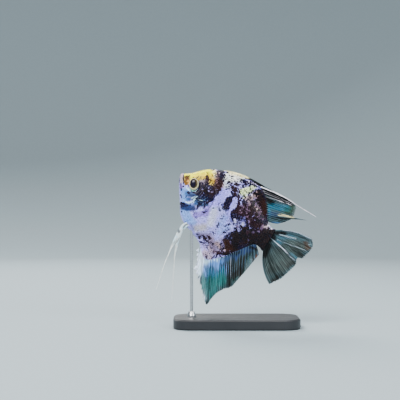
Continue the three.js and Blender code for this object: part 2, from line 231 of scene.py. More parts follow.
class Pigment(Enum):
    """The colours the fish is painted in, as display red, green and blue from 0 to 255."""

    LILAC = (197, 194, 255)
    PEARL = (232, 226, 250)
    PERIWINKLE = (182, 177, 255)
    SKY = (158, 186, 242)
    AZURE = (92, 142, 206)
    ICE = (216, 240, 252)
    SILVER = (224, 226, 242)
    WHITE = (246, 246, 242)
    CREAM = (250, 242, 206)
    LEMON = (242, 236, 14)
    KHAKI = (176, 156, 92)
    STRAW = (222, 200, 118)
    GOLD = (222, 188, 20)
    LIME = (232, 244, 200)
    MINT = (136, 190, 172)
    TEAL = (58, 94, 120)
    VIOLET = (160, 142, 216)
    MAUVE = (150, 140, 168)
    PLUM = (118, 90, 142)
    ROSE = (168, 150, 168)
    BUFF = (200, 176, 172)
    BONE = (208, 190, 198)
    GREY = (202, 198, 190)
    PINK_NET = (138, 115, 136)
    BLUE_NET = (128, 126, 184)
    GREY_NET = (112, 92, 108)
    TAN = (158, 118, 96)
    SIENNA = (92, 58, 44)
    FLESH = (222, 178, 128)
    OLIVE = (138, 106, 34)
    STEEL = (44, 66, 120)
    SLATE = (56, 68, 106)
    BROWN = (78, 52, 26)
    NAVY = (14, 14, 50)
    BLACK = (12, 7, 10)
    MAROON = (38, 15, 26)
    UMBER = (54, 27, 10)
    SMOKE = (58, 70, 74)
    ASH = (50, 48, 44)
    DRAB = (38, 46, 44)
    HORN = (122, 133, 131)
    EARTH = (34, 30, 25)
    OCHRE = (70, 46, 20)
    SEA = (48, 104, 102)
    LAGOON = (54, 112, 136)
    MOSS = (58, 84, 54)
    RAY = (112, 136, 144)
    SPRAY = (98, 146, 148)
    FOAM = (226, 234, 248)
    BLUSH = (250, 246, 255)

    @property
    def linear(self) -> Array:
        """The colour as linear light, richer and deeper than it shows, as strong light washes it out."""
        display = np.array(self.value) / 255
        light = np.where(display <= 0.04045, display / 12.92, ((display + 0.055) / 1.055) ** 2.4)
        grey = light @ np.array([0.2126, 0.7152, 0.0722])
        rich = np.maximum(grey + 1.4 * (light - grey), 0.0005) ** 1.1
        return np.clip((0.55 + 0.42 * grey) * rich, 0.0008, 0.95)


@dataclass(frozen=True)
class Patch:
    """Strokes of one pigment, brushed on over what lies before it."""

    pigment: Pigment
    strength: float
    softness: float
    strokes: tuple[Stroke, ...]


@dataclass(frozen=True)
class Fleck:
    """Strokes of ink, or of bare ground: 1 is solid, and less leaves more to the finish's own specks."""

    strength: float
    softness: float
    strokes: tuple[Stroke, ...]


GROUND = (
    # throat, cheek and belly
    Patch(Pigment.SKY, 0.95, 3, (
        (185, 211, 188, 219, 9), (183, 191, 184, 200, 6), (186, 189, 187, 191, 3.4),
    )),
    Patch(Pigment.TEAL, 0.85, 3, ((188, 193.6, 197, 195.6, 6.4), (188, 199, 195, 198.4, 4))),
    Patch(Pigment.SLATE, 0.75, 2, (
        (189, 195.6, 196, 195.4, 2.6), (191, 191.6, 196.4, 194, 2.4), (188, 199, 190, 200.4, 2),
    )),
    Patch(Pigment.SKY, 0.8, 3, ((189, 218, 194, 222, 6),)),
    Patch(Pigment.VIOLET, 0.85, 2.5, (
        (196, 215, 207, 213, 6), (208, 207, 208, 214, 4), (205, 209, 206, 210, 3),
    )),
    Patch(Pigment.PERIWINKLE, 0.85, 4, ((224, 191, 214, 203, 9), (203.5, 243, 206, 250, 4))),
    Patch(Pigment.SILVER, 0.85, 5, ((214, 211, 210.6, 223, 7),)),
    Patch(Pigment.GREY, 0.8, 5, ((197, 228, 204, 227, 7),)),
    Patch(Pigment.TEAL, 0.5, 2.5, ((191, 224, 193, 229, 3),)),
    Patch(Pigment.MAUVE, 0.9, 3, ((199, 235, 210, 235, 5),)),
    # the pale stripe behind the eye spot, and the keel
    Patch(Pigment.PERIWINKLE, 0.8, 2, ((235, 199.4, 229.8, 208, 4.6), (229.8, 208, 225.4, 221, 5.2))),
    Patch(Pigment.SKY, 0.55, 4, ((224, 218, 221, 225, 7), (219, 232, 228, 227, 5))),
    Patch(Pigment.ROSE, 0.9, 3.5, ((211, 240, 213, 250, 8),)),
    Patch(Pigment.BUFF, 0.9, 3, ((217, 243, 220, 247, 5),)),
    Patch(Pigment.BONE, 0.8, 3, ((205, 253, 210, 257, 7),)),
    Patch(Pigment.BONE, 0.4, 4, ((204, 245, 209, 250, 7),)),
    # the white saddle, and the back behind it
    Patch(Pigment.WHITE, 1, 3, ((226, 178, 240, 178, 9), (229, 173.5, 246, 176.5, 3))),
    Patch(Pigment.CREAM, 0.9, 1.2, ((228, 173.2, 238, 174.6, 2.2), (238, 175, 247, 176.8, 2))),
    Patch(Pigment.STRAW, 0.7, 1.5, ((240.5, 176.4, 242, 176.8, 1.8),)),
    Patch(Pigment.SILVER, 0.9, 3, ((224, 184, 227, 186, 6),)),
    Patch(Pigment.LIME, 1, 2, (
        (242, 192, 250, 190, 6.5), (252, 187, 255, 187, 2.8), (245, 197, 244, 194, 4),
    )),
    Patch(Pigment.PEARL, 0.95, 1.6, ((248, 182.8, 256, 184.6, 3.4),)),
    # crown, nape and the bar behind them
    Patch(Pigment.KHAKI, 0.95, 3, ((187, 179, 206, 180, 11), (200, 182, 212, 182, 7))),
    Patch(Pigment.STRAW, 0.85, 2.2, ((197.5, 178, 203, 177, 4), (211.4, 177, 213.6, 184, 6.4))),
    Patch(Pigment.MAUVE, 0.75, 2.4, ((200.4, 182.6, 206, 181.6, 4.4),)),
    Patch(Pigment.LEMON, 1, 1.6, (
        (185, 174.6, 193, 175.2, 3.2), (191.4, 176.6, 190.8, 179, 2.6), (194, 175.6, 204, 173.4, 4.6),
        (202, 171.8, 213, 172.8, 7), (193, 174.2, 204, 170.4, 3.4),
    )),
    Patch(Pigment.GOLD, 0.55, 3, (
        (203, 175.4, 213, 175.6, 4), (212, 178, 213, 184, 3.6), (195, 176.6, 201, 175.6, 2.6),
    )),
    Patch(Pigment.CREAM, 0.6, 2, ((214, 171, 215.6, 178, 3),)),
    Patch(Pigment.TAN, 0.85, 2.4, ((216.4, 180, 216.6, 187, 5), (218, 174, 221, 186, 5))),
    Patch(Pigment.BONE, 0.7, 2, ((217, 171.6, 221, 174.4, 4), (222.8, 182, 223, 186, 2))),
    Patch(Pigment.MAUVE, 0.8, 3, ((202, 189, 212, 189, 7), (210, 193, 216, 191, 6))),
    # snout, lips and lores
    Patch(Pigment.SIENNA, 0.95, 1.4, ((186.4, 177, 188, 179.6, 3.6),)),
    Patch(Pigment.OLIVE, 1, 1.3, ((185.2, 181, 186, 184.4, 2.6),)),
    Patch(Pigment.FLESH, 0.95, 1.1, ((188.6, 180.8, 188.6, 184, 2.4),)),
    Patch(Pigment.BONE, 1, 0.7, ((181.3, 174.5, 181.3, 182, 2.8),)),
    Patch(Pigment.PLUM, 0.85, 1.2, ((180.8, 184, 181.3, 187.5, 2.8),)),
    # gill cover and jowl
    Patch(Pigment.TEAL, 0.9, 3, ((197, 202, 208, 197, 8), (200, 205, 207, 204, 4))),
    Patch(Pigment.SLATE, 0.95, 2.6, ((183, 206.6, 192.6, 208, 6.6), (182, 204, 187, 205, 3.4))),
    Patch(Pigment.STEEL, 0.5, 2, ((184, 209, 191, 209.6, 2.6), (184, 206, 190, 206.6, 2.4))),
    Patch(Pigment.AZURE, 0.35, 3, ((184, 191, 186.6, 199, 5), (189, 204.4, 195, 204, 3))),
    Patch(Pigment.ICE, 0.85, 0.8, (
        (186, 202, 189, 203.3, 1.4), (189, 203.3, 193, 201.3, 1.4), (193, 201.3, 196.5, 196.8, 1.2),
        (191.6, 198.4, 194.6, 196.6, 0.7), (198.6, 199.6, 199.4, 199.6, 1.2), (201, 200.5, 202, 200.5, 1.2),
    )),
    Patch(Pigment.MINT, 0.95, 1, ((190, 188.5, 193, 190.6, 2.2), (193, 190.6, 198, 189.5, 1.8))),
    Patch(Pigment.ICE, 0.9, 0.7, ((186.5, 187.3, 190.2, 191.2, 1.2), (195, 192, 198.8, 188.5, 1))),
    # the net on the rear flank
    Patch(Pigment.PINK_NET, 1, 3, (
        (240, 211, 248, 208, 11), (257, 212, 259, 224, 7), (246, 214, 250, 222, 9), (250, 200, 254, 206, 7),
        (259, 196, 264, 222, 10), (262, 226.5, 266, 227, 4),
    )),
    Patch(Pigment.BUFF, 0.85, 3, ((246, 200, 257, 193.6, 6), (251, 206, 257, 210, 4))),
    Patch(Pigment.BLUE_NET, 0.95, 2, (
        (242, 217, 246, 222, 5), (241, 221, 243, 225, 3.5), (232, 213, 231, 221, 3),
    )),
    Patch(Pigment.PEARL, 0.9, 1.2, (
        (234.3, 220, 234.6, 221.6, 2.8), (242.5, 223.6, 242.6, 224.4, 2), (250.8, 194.6, 251.2, 195, 2),
    )),
    Patch(Pigment.GREY_NET, 0.9, 2, (
        (245, 233, 250, 233, 6), (236.6, 226, 237.6, 226.6, 3), (250, 232, 262, 231.4, 6),
        (262, 229.6, 277, 231.6, 6),
    )),
    Patch(Pigment.BONE, 0.7, 2, ((264, 226.6, 268, 227.4, 2.4),)),
    Patch(Pigment.WHITE, 0.9, 0.7, (
        (267.6, 225.4, 268.8, 226, 1.7), (271.2, 228.4, 271.9, 229.2, 1.1), (268.8, 229.6, 270, 230.2, 1.4),
    )),
    # the dark foot of the anal fin and the tail stem, where even the bare flecks are brown
    Patch(Pigment.BROWN, 1, 2.6, ((227, 242, 228, 248, 7), (224.5, 239, 226, 240, 3))),
    Patch(Pigment.OLIVE, 0.5, 2.6, ((216, 252.4, 228, 252, 5), (222, 240, 224, 248, 5))),
    Patch(Pigment.UMBER, 0.9, 4, (
        (236, 236, 236, 248, 12), (244, 234, 256, 241, 12), (260, 240, 268, 248, 13),
    )),
    Patch(Pigment.BUFF, 0.9, 0.9, ((224.6, 249.6, 225, 250.2, 1.7),)),
)

INK = (
    # dense fields, with the finish's own bare flecks in them
    Fleck(0.97, 3, (
        (257, 197, 261, 214, 17), (246, 209, 256, 214, 13), (236.4, 210.5, 238, 218, 7),
        (249, 223, 260, 225, 9), (262, 214, 265, 224, 7), (243, 214, 250, 220, 6), (244, 202, 250, 205, 5),
        (240, 226, 250, 229, 4), (220.6, 172.4, 221.4, 178.6, 7.6), (220.6, 181.4, 217.5, 188, 7.4),
        (215.6, 184, 214.4, 189, 4), (216, 191.4, 210.6, 198.6, 6.8), (201.4, 186, 212.6, 188.8, 7),
        (200, 193, 209, 194, 7.4), (206.8, 177.4, 207.2, 184, 4), (218, 171, 223, 172.4, 4.4),
        (231.6, 187.4, 236, 188.6, 4), (235.4, 194, 238.4, 197, 4.4), (245, 228.8, 262, 229.6, 4.4),
        (240, 207.4, 246, 206.4, 5), (218, 252.6, 232, 252.4, 4), (225, 240.4, 228, 249, 6.4),
        (226, 237, 234, 232.4, 5), (240, 200, 237, 208, 3.6), (235.4, 209.6, 233.4, 221, 3.6),
        (243, 206, 254, 200, 9), (252, 214, 258, 224, 9), (266, 190, 268, 220, 4),
        (227.6, 200.6, 225.2, 207, 6), (219, 253, 224, 252.4, 4.4), (221.8, 247.6, 225, 248.6, 3),
    )),
    Fleck(0.7, 3, ((199, 200, 208, 199.4, 8), (200, 203, 205, 203, 4))),
    # mixed: half ink and half ground
    Fleck(0.6, 3, (
        (198.6, 204.6, 206, 204.4, 4.6), (183, 205.6, 191, 205.4, 2.4), (215.4, 175.6, 217, 182, 3.6),
        (231, 185, 238, 193.6, 8), (246, 184.4, 254, 183.4, 6), (196.6, 189.4, 198.8, 193, 4),
        (246, 203, 253, 199, 7), (240, 213, 244, 219, 6), (238.6, 219, 239, 226, 5),
        (246, 224, 250, 228, 5), (201.6, 183.4, 209, 183.8, 4), (211, 180, 213, 186, 4),
        (234, 223, 240, 228, 5), (203, 208, 206, 211, 3), (226.6, 188.4, 229.6, 187, 4),
        (243, 198, 247, 201, 5), (243, 180.6, 247, 183, 5), (252, 183, 258, 186, 3),
        (207, 172.6, 209, 176, 1.6), (232, 193.4, 234, 196, 3), (214.6, 251, 220, 250, 4),
        (221.6, 243, 222, 250, 4.2), (201, 236.6, 208, 237.4, 4.6), (217, 226.6, 218.6, 224, 3),
        (222.6, 232.6, 229, 229, 4), (204, 239.6, 208, 240.6, 3), (257, 186.4, 264, 190, 3),
        (262, 227, 270, 228.6, 4.4), (220.6, 250.4, 225, 250.8, 4),
    )),
    # sparse: ground with small flecks of ink
    Fleck(0.36, 3, (
        (194, 213, 198, 219, 4), (205, 242, 216, 250, 10), (206, 254, 213, 259, 8), (189, 194, 196, 197, 4),
        (196, 181, 203, 180, 4), (241, 186.4, 243, 194, 5), (247, 192.6, 252, 190, 5),
        (191, 190.4, 198, 190.4, 3), (220, 176, 216, 190, 12), (219.4, 206, 222, 210, 5),
        (228, 179, 240, 184, 5), (240, 176.4, 248, 178, 3), (225, 214, 231, 222, 5),
        (216, 244, 221, 248, 6), (186, 181.4, 189, 184, 3), (198, 178, 205, 178, 4),
        (224, 225.6, 231, 223, 4), (209, 229, 215, 233, 5), (196, 205, 200, 208, 3),
        (213, 176, 216, 180, 4),
    )),
    # solid: mouth, nostril, temple and cheek
    Fleck(1.2, 1.1, (
        (183.6, 174.2, 183.6, 183.4, 1), (179, 174.6, 179, 182, 1.2), (186.2, 175.8, 189.4, 176.2, 0.9),
        (193.1, 177.3, 193.4, 177.5, 1.1), (196.7, 178.4, 198.6, 176.5, 1.1),
        (183.2, 186.4, 183.6, 186.6, 1.3), (199.6, 182.2, 199.5, 185.6, 1.2),
        (188.4, 185.2, 188.6, 186, 0.8), (188.1, 192, 188.6, 192.8, 2.6), (181, 189.2, 181.4, 190.2, 1.5),
        (199.6, 188.4, 197.4, 193.6, 3.4), (204.6, 186.4, 206.4, 193.4, 4), (201.4, 192.6, 203.4, 191, 3),
        (192.6, 189.6, 194, 190.2, 0.9), (193, 192.8, 197, 193.2, 1.4), (180.8, 194.8, 181.6, 198, 1.2),
        (186, 195.8, 186, 197.4, 1.3),
    )),
    # solid: gill cover, jowl, and the bar over the nape
    Fleck(1.2, 1.2, (
        (219.2, 190, 213, 194.6, 3.4), (213, 194.6, 210, 200.6, 3), (208.6, 193, 209.6, 195, 2),
        (196.8, 208.8, 197.8, 205.6, 1.7), (199.4, 204.4, 201.6, 203.2, 2), (204, 206.2, 205.2, 206.2, 1.6),
        (206.5, 203, 209.6, 201.4, 2.4), (181, 202.4, 184.4, 204.2, 1.8), (181, 204.8, 181.4, 207, 1.4),
        (181.4, 211.3, 182.4, 211.6, 1.2), (221.2, 175.6, 221.4, 179.2, 2.4),
        (214.3, 173.2, 214.7, 173.2, 1.3), (216.5, 174.7, 217.6, 173.6, 1.2),
        (224.4, 175.1, 225.4, 175.5, 1.5), (226.6, 172.8, 228, 172.6, 1.6), (219.4, 180.8, 222, 180.6, 2),
        (220.2, 184.4, 221.4, 184.6, 2), (215.4, 180, 214.8, 182.6, 1.2), (219, 170.6, 224, 170.2, 1.4),
        (210.6, 187.2, 211.4, 188.6, 1.6), (203.4, 212, 204.4, 212.4, 1.6), (221.6, 204.4, 222, 205.6, 1.4),
        (211, 170, 214, 169.6, 0.9),
    )),
    # solid: spots on the saddle and the back
    Fleck(1.2, 1, (
        (231.3, 178.4, 231.5, 178.5, 1.3), (229.2, 175.6, 234, 176.6, 1.1),
        (229.6, 181.4, 226.4, 184.2, 1.5), (240.2, 181.8, 240.5, 182.2, 1.9),
        (238.5, 179.5, 238.8, 179.7, 1.3), (242.9, 180.3, 246, 182.8, 2.8),
        (244.9, 177.5, 245.6, 177.6, 1.7), (247.4, 178.2, 252.4, 180.6, 1.9),
        (252.4, 180.6, 258.6, 183.6, 2.2), (231.6, 183.6, 232, 184, 1.5), (235.8, 184.2, 238.4, 185, 3),
        (233.4, 190.2, 236, 190.4, 2.4), (231.4, 191.8, 232, 193, 1.9), (235, 194, 238, 196.4, 2.6),
        (238, 198, 238.4, 199, 1.8), (239.2, 189.8, 239.4, 191.2, 1.6), (242.2, 187, 246.4, 186.2, 1.6),
        (249.7, 185.9, 250, 186.8, 1.9), (247.4, 192.5, 247.7, 192.7, 1.4), (243.3, 196, 244.2, 195.6, 1.7),
        (245.9, 198.1, 246.5, 198.3, 1.5), (241.6, 198.4, 243.6, 198.8, 1.8),
        (240.2, 200.8, 243.6, 201.2, 2), (241.4, 189.4, 241.6, 189.5, 1.1), (225.8, 178.6, 226, 179, 1),
        (235, 181, 235.4, 181.4, 0.9), (248.6, 194, 249, 196.6, 1.9), (246, 178.4, 262, 186.6, 1.5),
        (253, 184.8, 257.4, 186.6, 1.6), (245.4, 185, 246, 185.2, 1.2), (249.4, 183, 250.6, 183.2, 1.4),
        (240.4, 178.6, 241, 178.8, 1.1), (242.6, 184.4, 243, 184.8, 1.3), (237, 182.6, 237.6, 182.8, 1.2),
        (250, 188.4, 250.6, 188.8, 1.1), (244.6, 190.6, 245, 190.8, 1.1), (237.6, 174.9, 238.4, 175.2, 0.9),
        (243, 176.4, 243.4, 176.6, 0.9), (254, 186.6, 255, 187, 1),
    )),
    # solid: the eye spot, and the rear flank
    Fleck(1.2, 1.3, (
        (228.8, 199.6, 225.6, 207.6, 6.8), (230.6, 197.2, 233.6, 195.8, 2.8),
        (238.6, 200.4, 237.4, 206, 1.9), (257, 192.6, 264, 198, 6.6), (262, 196, 264, 212, 6),
        (264, 212, 266, 222, 5), (263, 189, 268, 196, 4), (252, 207, 252.6, 212.6, 5.2),
        (242.6, 209.6, 244, 213, 3.4), (247.6, 208.6, 248.6, 209.2, 2.4), (245.8, 218.6, 248, 220.4, 3.2),
        (247, 221, 247.4, 223.4, 2), (251.4, 221.6, 252.6, 223, 2.6), (250.8, 226.6, 253.4, 226.8, 2.8),
        (215.5, 229.8, 215.4, 228.6, 1.2), (221.4, 218.4, 221.6, 219.2, 1.5),
        (212.2, 231.3, 212.6, 231.5, 1.2), (222.4, 208.2, 223.4, 209.6, 2), (212.7, 207.2, 213, 208.4, 1.3),
        (219.2, 207.4, 219.6, 210, 1.4), (222, 215.6, 223.2, 216.4, 1.4), (231.4, 211.4, 232.4, 220, 2.2),
        (218.6, 223, 217, 226.6, 2), (228, 223.8, 228.8, 223.9, 1.8), (225.2, 225.6, 225.6, 225.7, 1),
        (254.6, 224.4, 256.6, 228, 3.2), (234, 227.8, 236.6, 230.4, 2), (241.4, 227.6, 246, 228.4, 2.2),
    )),
    # solid: the band over the anal fin, the tail stem and the chest
    Fleck(1.3, 1.8, (
        (236, 235, 234, 246, 8), (243.5, 232.5, 243, 246.5, 8), (251, 236, 252, 240.5, 8),
        (233, 249, 240, 248.4, 5), (257, 236, 266, 238, 8), (261, 242, 268, 247, 9),
        (264, 249, 267, 254, 8), (265, 231, 277, 232.4, 6), (266, 235.6, 272, 236.6, 6),
        (262, 232, 268, 233, 4), (249, 245, 242, 249, 4), (224, 254, 232, 254, 3),
        (229.4, 238.6, 231, 240, 2.6), (255, 244, 262, 250, 4), (240, 251, 248, 248, 3),
    )),
    Fleck(1.2, 1, (
        (197.3, 233.8, 197.8, 234.6, 1.4), (198.4, 236.6, 199.4, 238.2, 2), (204, 238, 206, 238.2, 1.8),
        (208.6, 237, 210.2, 238.6, 2.6), (206.2, 240.6, 207.4, 241, 1.5), (199.9, 241, 200.3, 242.4, 1.6),
        (204.3, 243.3, 204.5, 243.5, 1.1), (206.3, 245.3, 206.5, 245.5, 1.1),
        (208.3, 243.2, 208.5, 243.4, 1.1), (211.1, 242.3, 211.3, 242.5, 1.2),
        (213.3, 243.2, 213.5, 243.4, 1.1), (217.3, 242.2, 217.5, 242.4, 1.1),
        (212.2, 247.6, 211.2, 248.6, 1.2), (217.3, 248.2, 217.5, 248.4, 1.1),
        (215.3, 249.3, 215.5, 249.5, 1), (213.1, 251.7, 213.3, 251.9, 1.6), (212.6, 258, 212.2, 260.4, 1.4),
        (214.6, 255, 213.6, 257, 1.1), (216.6, 255, 216.8, 258, 1.2), (220, 256, 221.5, 257.4, 1.8),
        (224.3, 256.5, 224.5, 256.7, 1.4),
    )),
)

BARE = (
    Fleck(0.9, 1, (
        (208.7, 187.6, 208.8, 188.2, 1.2), (208.5, 191, 208.7, 191.6, 1.1), (218.4, 173.4, 219.2, 173.3, 1),
        (250.9, 194.6, 251.2, 195, 1.4), (254.3, 191.3, 254.5, 191.5, 1.1),
        (256.4, 192.4, 256.7, 192.6, 1.2), (252.6, 196.6, 253, 196.9, 1.3),
        (251.4, 199.4, 253.6, 199.6, 1.1), (248.6, 201.6, 249.6, 204.6, 1.5),
        (258.4, 202.4, 258.7, 202.6, 1.2), (255.6, 203.4, 255.2, 206.6, 1.2),
        (256.6, 208.6, 256.8, 209.6, 1), (246.4, 211.8, 246.8, 213, 1), (246.6, 208, 246.8, 209.4, 1),
        (262.5, 219.4, 263.2, 220.6, 1.3),
    )),
    Fleck(0.24, 3, ((225, 241, 226, 250, 4),)),
    Fleck(0.14, 3, ((246, 200, 258, 193, 8), (250, 206, 259, 213, 9), (242, 209, 246, 216, 6))),
    Fleck(0.36, 1.6, (
        (260.4, 211.8, 258.6, 215, 2), (258.6, 216, 257.4, 220, 2), (252.6, 215.2, 251.2, 219, 2),
        (247.6, 216, 243.4, 219.4, 2.4), (257.6, 206, 260, 210, 1.8), (242, 209.6, 243, 206, 1.8),
        (252, 196.6, 256, 198.6, 2.4), (249, 201, 248.4, 206, 2),
    )),
    Fleck(1.2, 1.2, (
        (234.2, 219.4, 234.6, 221.2, 2), (237, 225.6, 237.6, 226.8, 2), (242.6, 222, 243, 224.6, 2.6),
        (248.5, 220.4, 248.5, 223, 1.3), (249.2, 225, 249.3, 229, 1.1), (263, 226.4, 265.6, 227.4, 3),
        (260.4, 228.6, 262, 228, 1.4), (258.6, 231, 259.1, 232.6, 0.9), (268.2, 225.4, 268.8, 226.2, 1.6),
        (271.2, 228.2, 271.8, 229.2, 1.3), (269.2, 229.6, 270, 230.2, 1.2), (224.8, 249.6, 225, 250.2, 1.4),
        (246.6, 230.4, 246.2, 234.6, 1.5), (248, 235.2, 248.6, 236, 1.4), (252.3, 233, 252.6, 234.2, 1.2),
        (248.3, 239.6, 248.5, 240.4, 1),
    )),
    Fleck(0.5, 1, (
        (232.5, 238.6, 232.5, 247, 0.9), (229, 241.4, 233.5, 241.4, 0.8), (201.8, 189.4, 203.4, 189.3, 1.1),
        (240, 202.6, 241, 205.6, 2.6),
    )),
)

INK_TONES = (
    Patch(Pigment.BLACK, 0.9, 4, (
        (256, 196, 262, 208, 14), (243, 232, 255, 240, 16), (262, 240, 268, 246, 16),
        (236, 236, 234, 248, 9), (226, 253, 232, 253, 5), (204, 190, 208, 192, 5), (252, 208, 256, 222, 8),
        (266, 232, 277, 233, 9),
    )),
    Patch(Pigment.BROWN, 0.45, 2, (
        (224, 241, 230, 247, 6), (217, 251, 226, 250.6, 3.4), (240, 244, 248, 241, 2),
    )),
    Patch(Pigment.MAROON, 0.85, 4, (
        (236, 206, 250, 214, 14), (234, 186, 238, 196, 8), (199, 237, 210, 238.4, 5),
        (218, 189, 212, 193, 5), (252, 222, 260, 228, 8),
    )),
    Patch(Pigment.UMBER, 0.75, 4, (
        (217, 181, 220, 185, 8), (206, 178, 209, 182, 4), (213, 183, 215, 188, 4), (227, 243, 230, 248, 7),
        (263, 202, 264, 215, 5), (216, 252, 219, 253, 3), (187, 176, 188, 178, 3),
    )),
)

FIN_GROUND = (
    # keel fin: slate, ash and earth behind, sky to sea green in front, with a white front edge
    Patch(Pigment.SLATE, 0.9, 4, ((226, 258, 252, 248, 7), (250, 247, 258, 243, 6))),
    Patch(Pigment.ASH, 0.9, 5, ((228, 269, 243, 262, 11),)),
    Patch(Pigment.EARTH, 0.95, 4, ((227, 281, 241, 271, 10), (225.6, 262, 226, 284, 2))),
    Patch(Pigment.DRAB, 0.8, 6, (
        (276, 262, 290, 252, 22), (290, 242, 304, 247, 8), (272, 266, 275, 277, 12),
    )),
    Patch(Pigment.SKY, 0.5, 4, ((207, 262, 221, 261, 7),)),
    Patch(Pigment.LAGOON, 0.9, 5, ((205, 273, 221, 273, 8),)),
    Patch(Pigment.SEA, 0.95, 5, ((206, 283, 220, 281, 12), (205, 293, 213, 292, 9))),
    Patch(Pigment.SKY, 0.5, 4, ((204, 264, 216, 264, 6),)),
    Patch(Pigment.ICE, 0.8, 3, ((204, 248, 206, 260, 8), (200.6, 262, 200, 272, 4))),
    Patch(Pigment.SKY, 0.7, 3, ((206, 259, 214, 259, 4), (203, 270, 205, 274, 3))),
    Patch(Pigment.AZURE, 0.6, 3, ((211, 263.6, 221, 262.6, 4.4),)),
    Patch(Pigment.FOAM, 0.95, 3, ((200, 246, 198, 262, 5), (198, 262, 198, 274, 3.4))),
    Patch(Pigment.BONE, 0.8, 3, ((203, 246, 205, 256, 6),)),
    Patch(Pigment.FOAM, 0.9, 1, ((197.8, 274, 200, 286, 1.8), (200, 286, 205.6, 302, 1.8))),
    Patch(Pigment.SPRAY, 0.4, 3, ((202, 276, 208, 297, 3),)),
    Patch(Pigment.SEA, 0.5, 3, ((250, 258, 244, 274, 4), (236, 281, 232, 284, 3))),
    Patch(Pigment.BLACK, 0.9, 1.6, ((250, 247, 258, 251, 3), (220, 256, 240, 252, 2.4))),
    Patch(Pigment.SIENNA, 0.8, 1.2, ((260, 250, 254, 259, 1.2),)),
    Patch(Pigment.ICE, 0.8, 0.8, (
        (211, 258, 211.6, 263.4, 0.9), (214, 257, 214.4, 260.6, 0.8), (217, 256.4, 217.4, 261.6, 0.9),
        (220, 255.6, 220.2, 258.6, 0.6), (223.6, 255, 223.8, 258, 0.5),
    )),
    # back fin
    Patch(Pigment.CREAM, 0.9, 3, ((222, 172, 246, 176, 5),)),
    Patch(Pigment.BLACK, 1, 2.4, (
        (250, 180, 262, 186, 4), (262, 190, 293, 203, 7), (264, 196, 273, 201, 6),
    )),
    Patch(Pigment.LAGOON, 0.95, 3, ((272, 206.4, 288, 208.6, 6), (268, 206, 270, 216, 3))),
    Patch(Pigment.SLATE, 0.7, 3, ((269, 214, 284, 216, 5),)),
    Patch(Pigment.MOSS, 0.5, 4, ((287, 210.6, 293, 209, 7), (282, 213, 290, 213, 3))),
    Patch(Pigment.AZURE, 0.7, 3, ((272, 225, 281, 225, 5),)),
    Patch(Pigment.BLACK, 0.95, 1.4, (
        (277, 218.6, 292, 219.2, 2.6), (290, 219.4, 306, 221, 1.2), (278, 221, 286, 222.4, 2),
        (267, 204, 268, 224, 2),
    )),
    Patch(Pigment.BLUSH, 0.55, 0.5, (
        (264, 192.8, 280, 199, 0.2), (280, 199, 293, 204, 0.3), (265, 196.6, 283, 201.6, 0.2),
    )),
    # tail fin
    Patch(Pigment.LAGOON, 0.5, 4, ((281, 236, 292, 237, 5), (274, 238, 280, 242, 4))),
    Patch(Pigment.ASH, 0.8, 5, ((292, 246, 304, 249, 8), (276, 266, 290, 262, 10))),
    Patch(Pigment.OCHRE, 0.9, 3, ((306, 243, 308, 248, 5),)),
    Patch(Pigment.EARTH, 0.6, 5, (
        (270, 270, 280, 271, 8), (296, 242, 304, 246, 6), (270, 246, 273, 248, 4),
    )),
    Patch(Pigment.EARTH, 0.85, 3, (
        (299, 254, 304, 257, 4), (288, 266, 293, 263, 4), (272, 280, 282, 275.6, 4.5),
    )),
    Patch(Pigment.LAGOON, 0.5, 3, ((291, 255, 299, 261, 4),)),
    Patch(Pigment.BLACK, 1, 3, (
        (271, 232, 284, 233.6, 7), (266, 240, 272, 238, 9), (268, 244, 264, 254, 8),
    )),
    Patch(Pigment.FOAM, 0.5, 0.7, ((277, 243.4, 283, 248.6, 0.8), (283, 248.6, 288, 253.6, 1))),
    Patch(Pigment.ICE, 0.5, 0.8, (
        (269.8, 237.4, 277, 243.4, 0.3), (277, 239.2, 290, 245, 0.2), (290, 245, 306.4, 250.6, 0.2),
        (279, 234.4, 287, 235.8, 0.7), (287, 235.8, 296, 238.4, 0.5), (288, 230, 298, 232.4, 0.5),
        (298, 232.4, 311, 238.8, 0.6), (310.4, 241, 309.6, 246, 0.4),
    )),
)

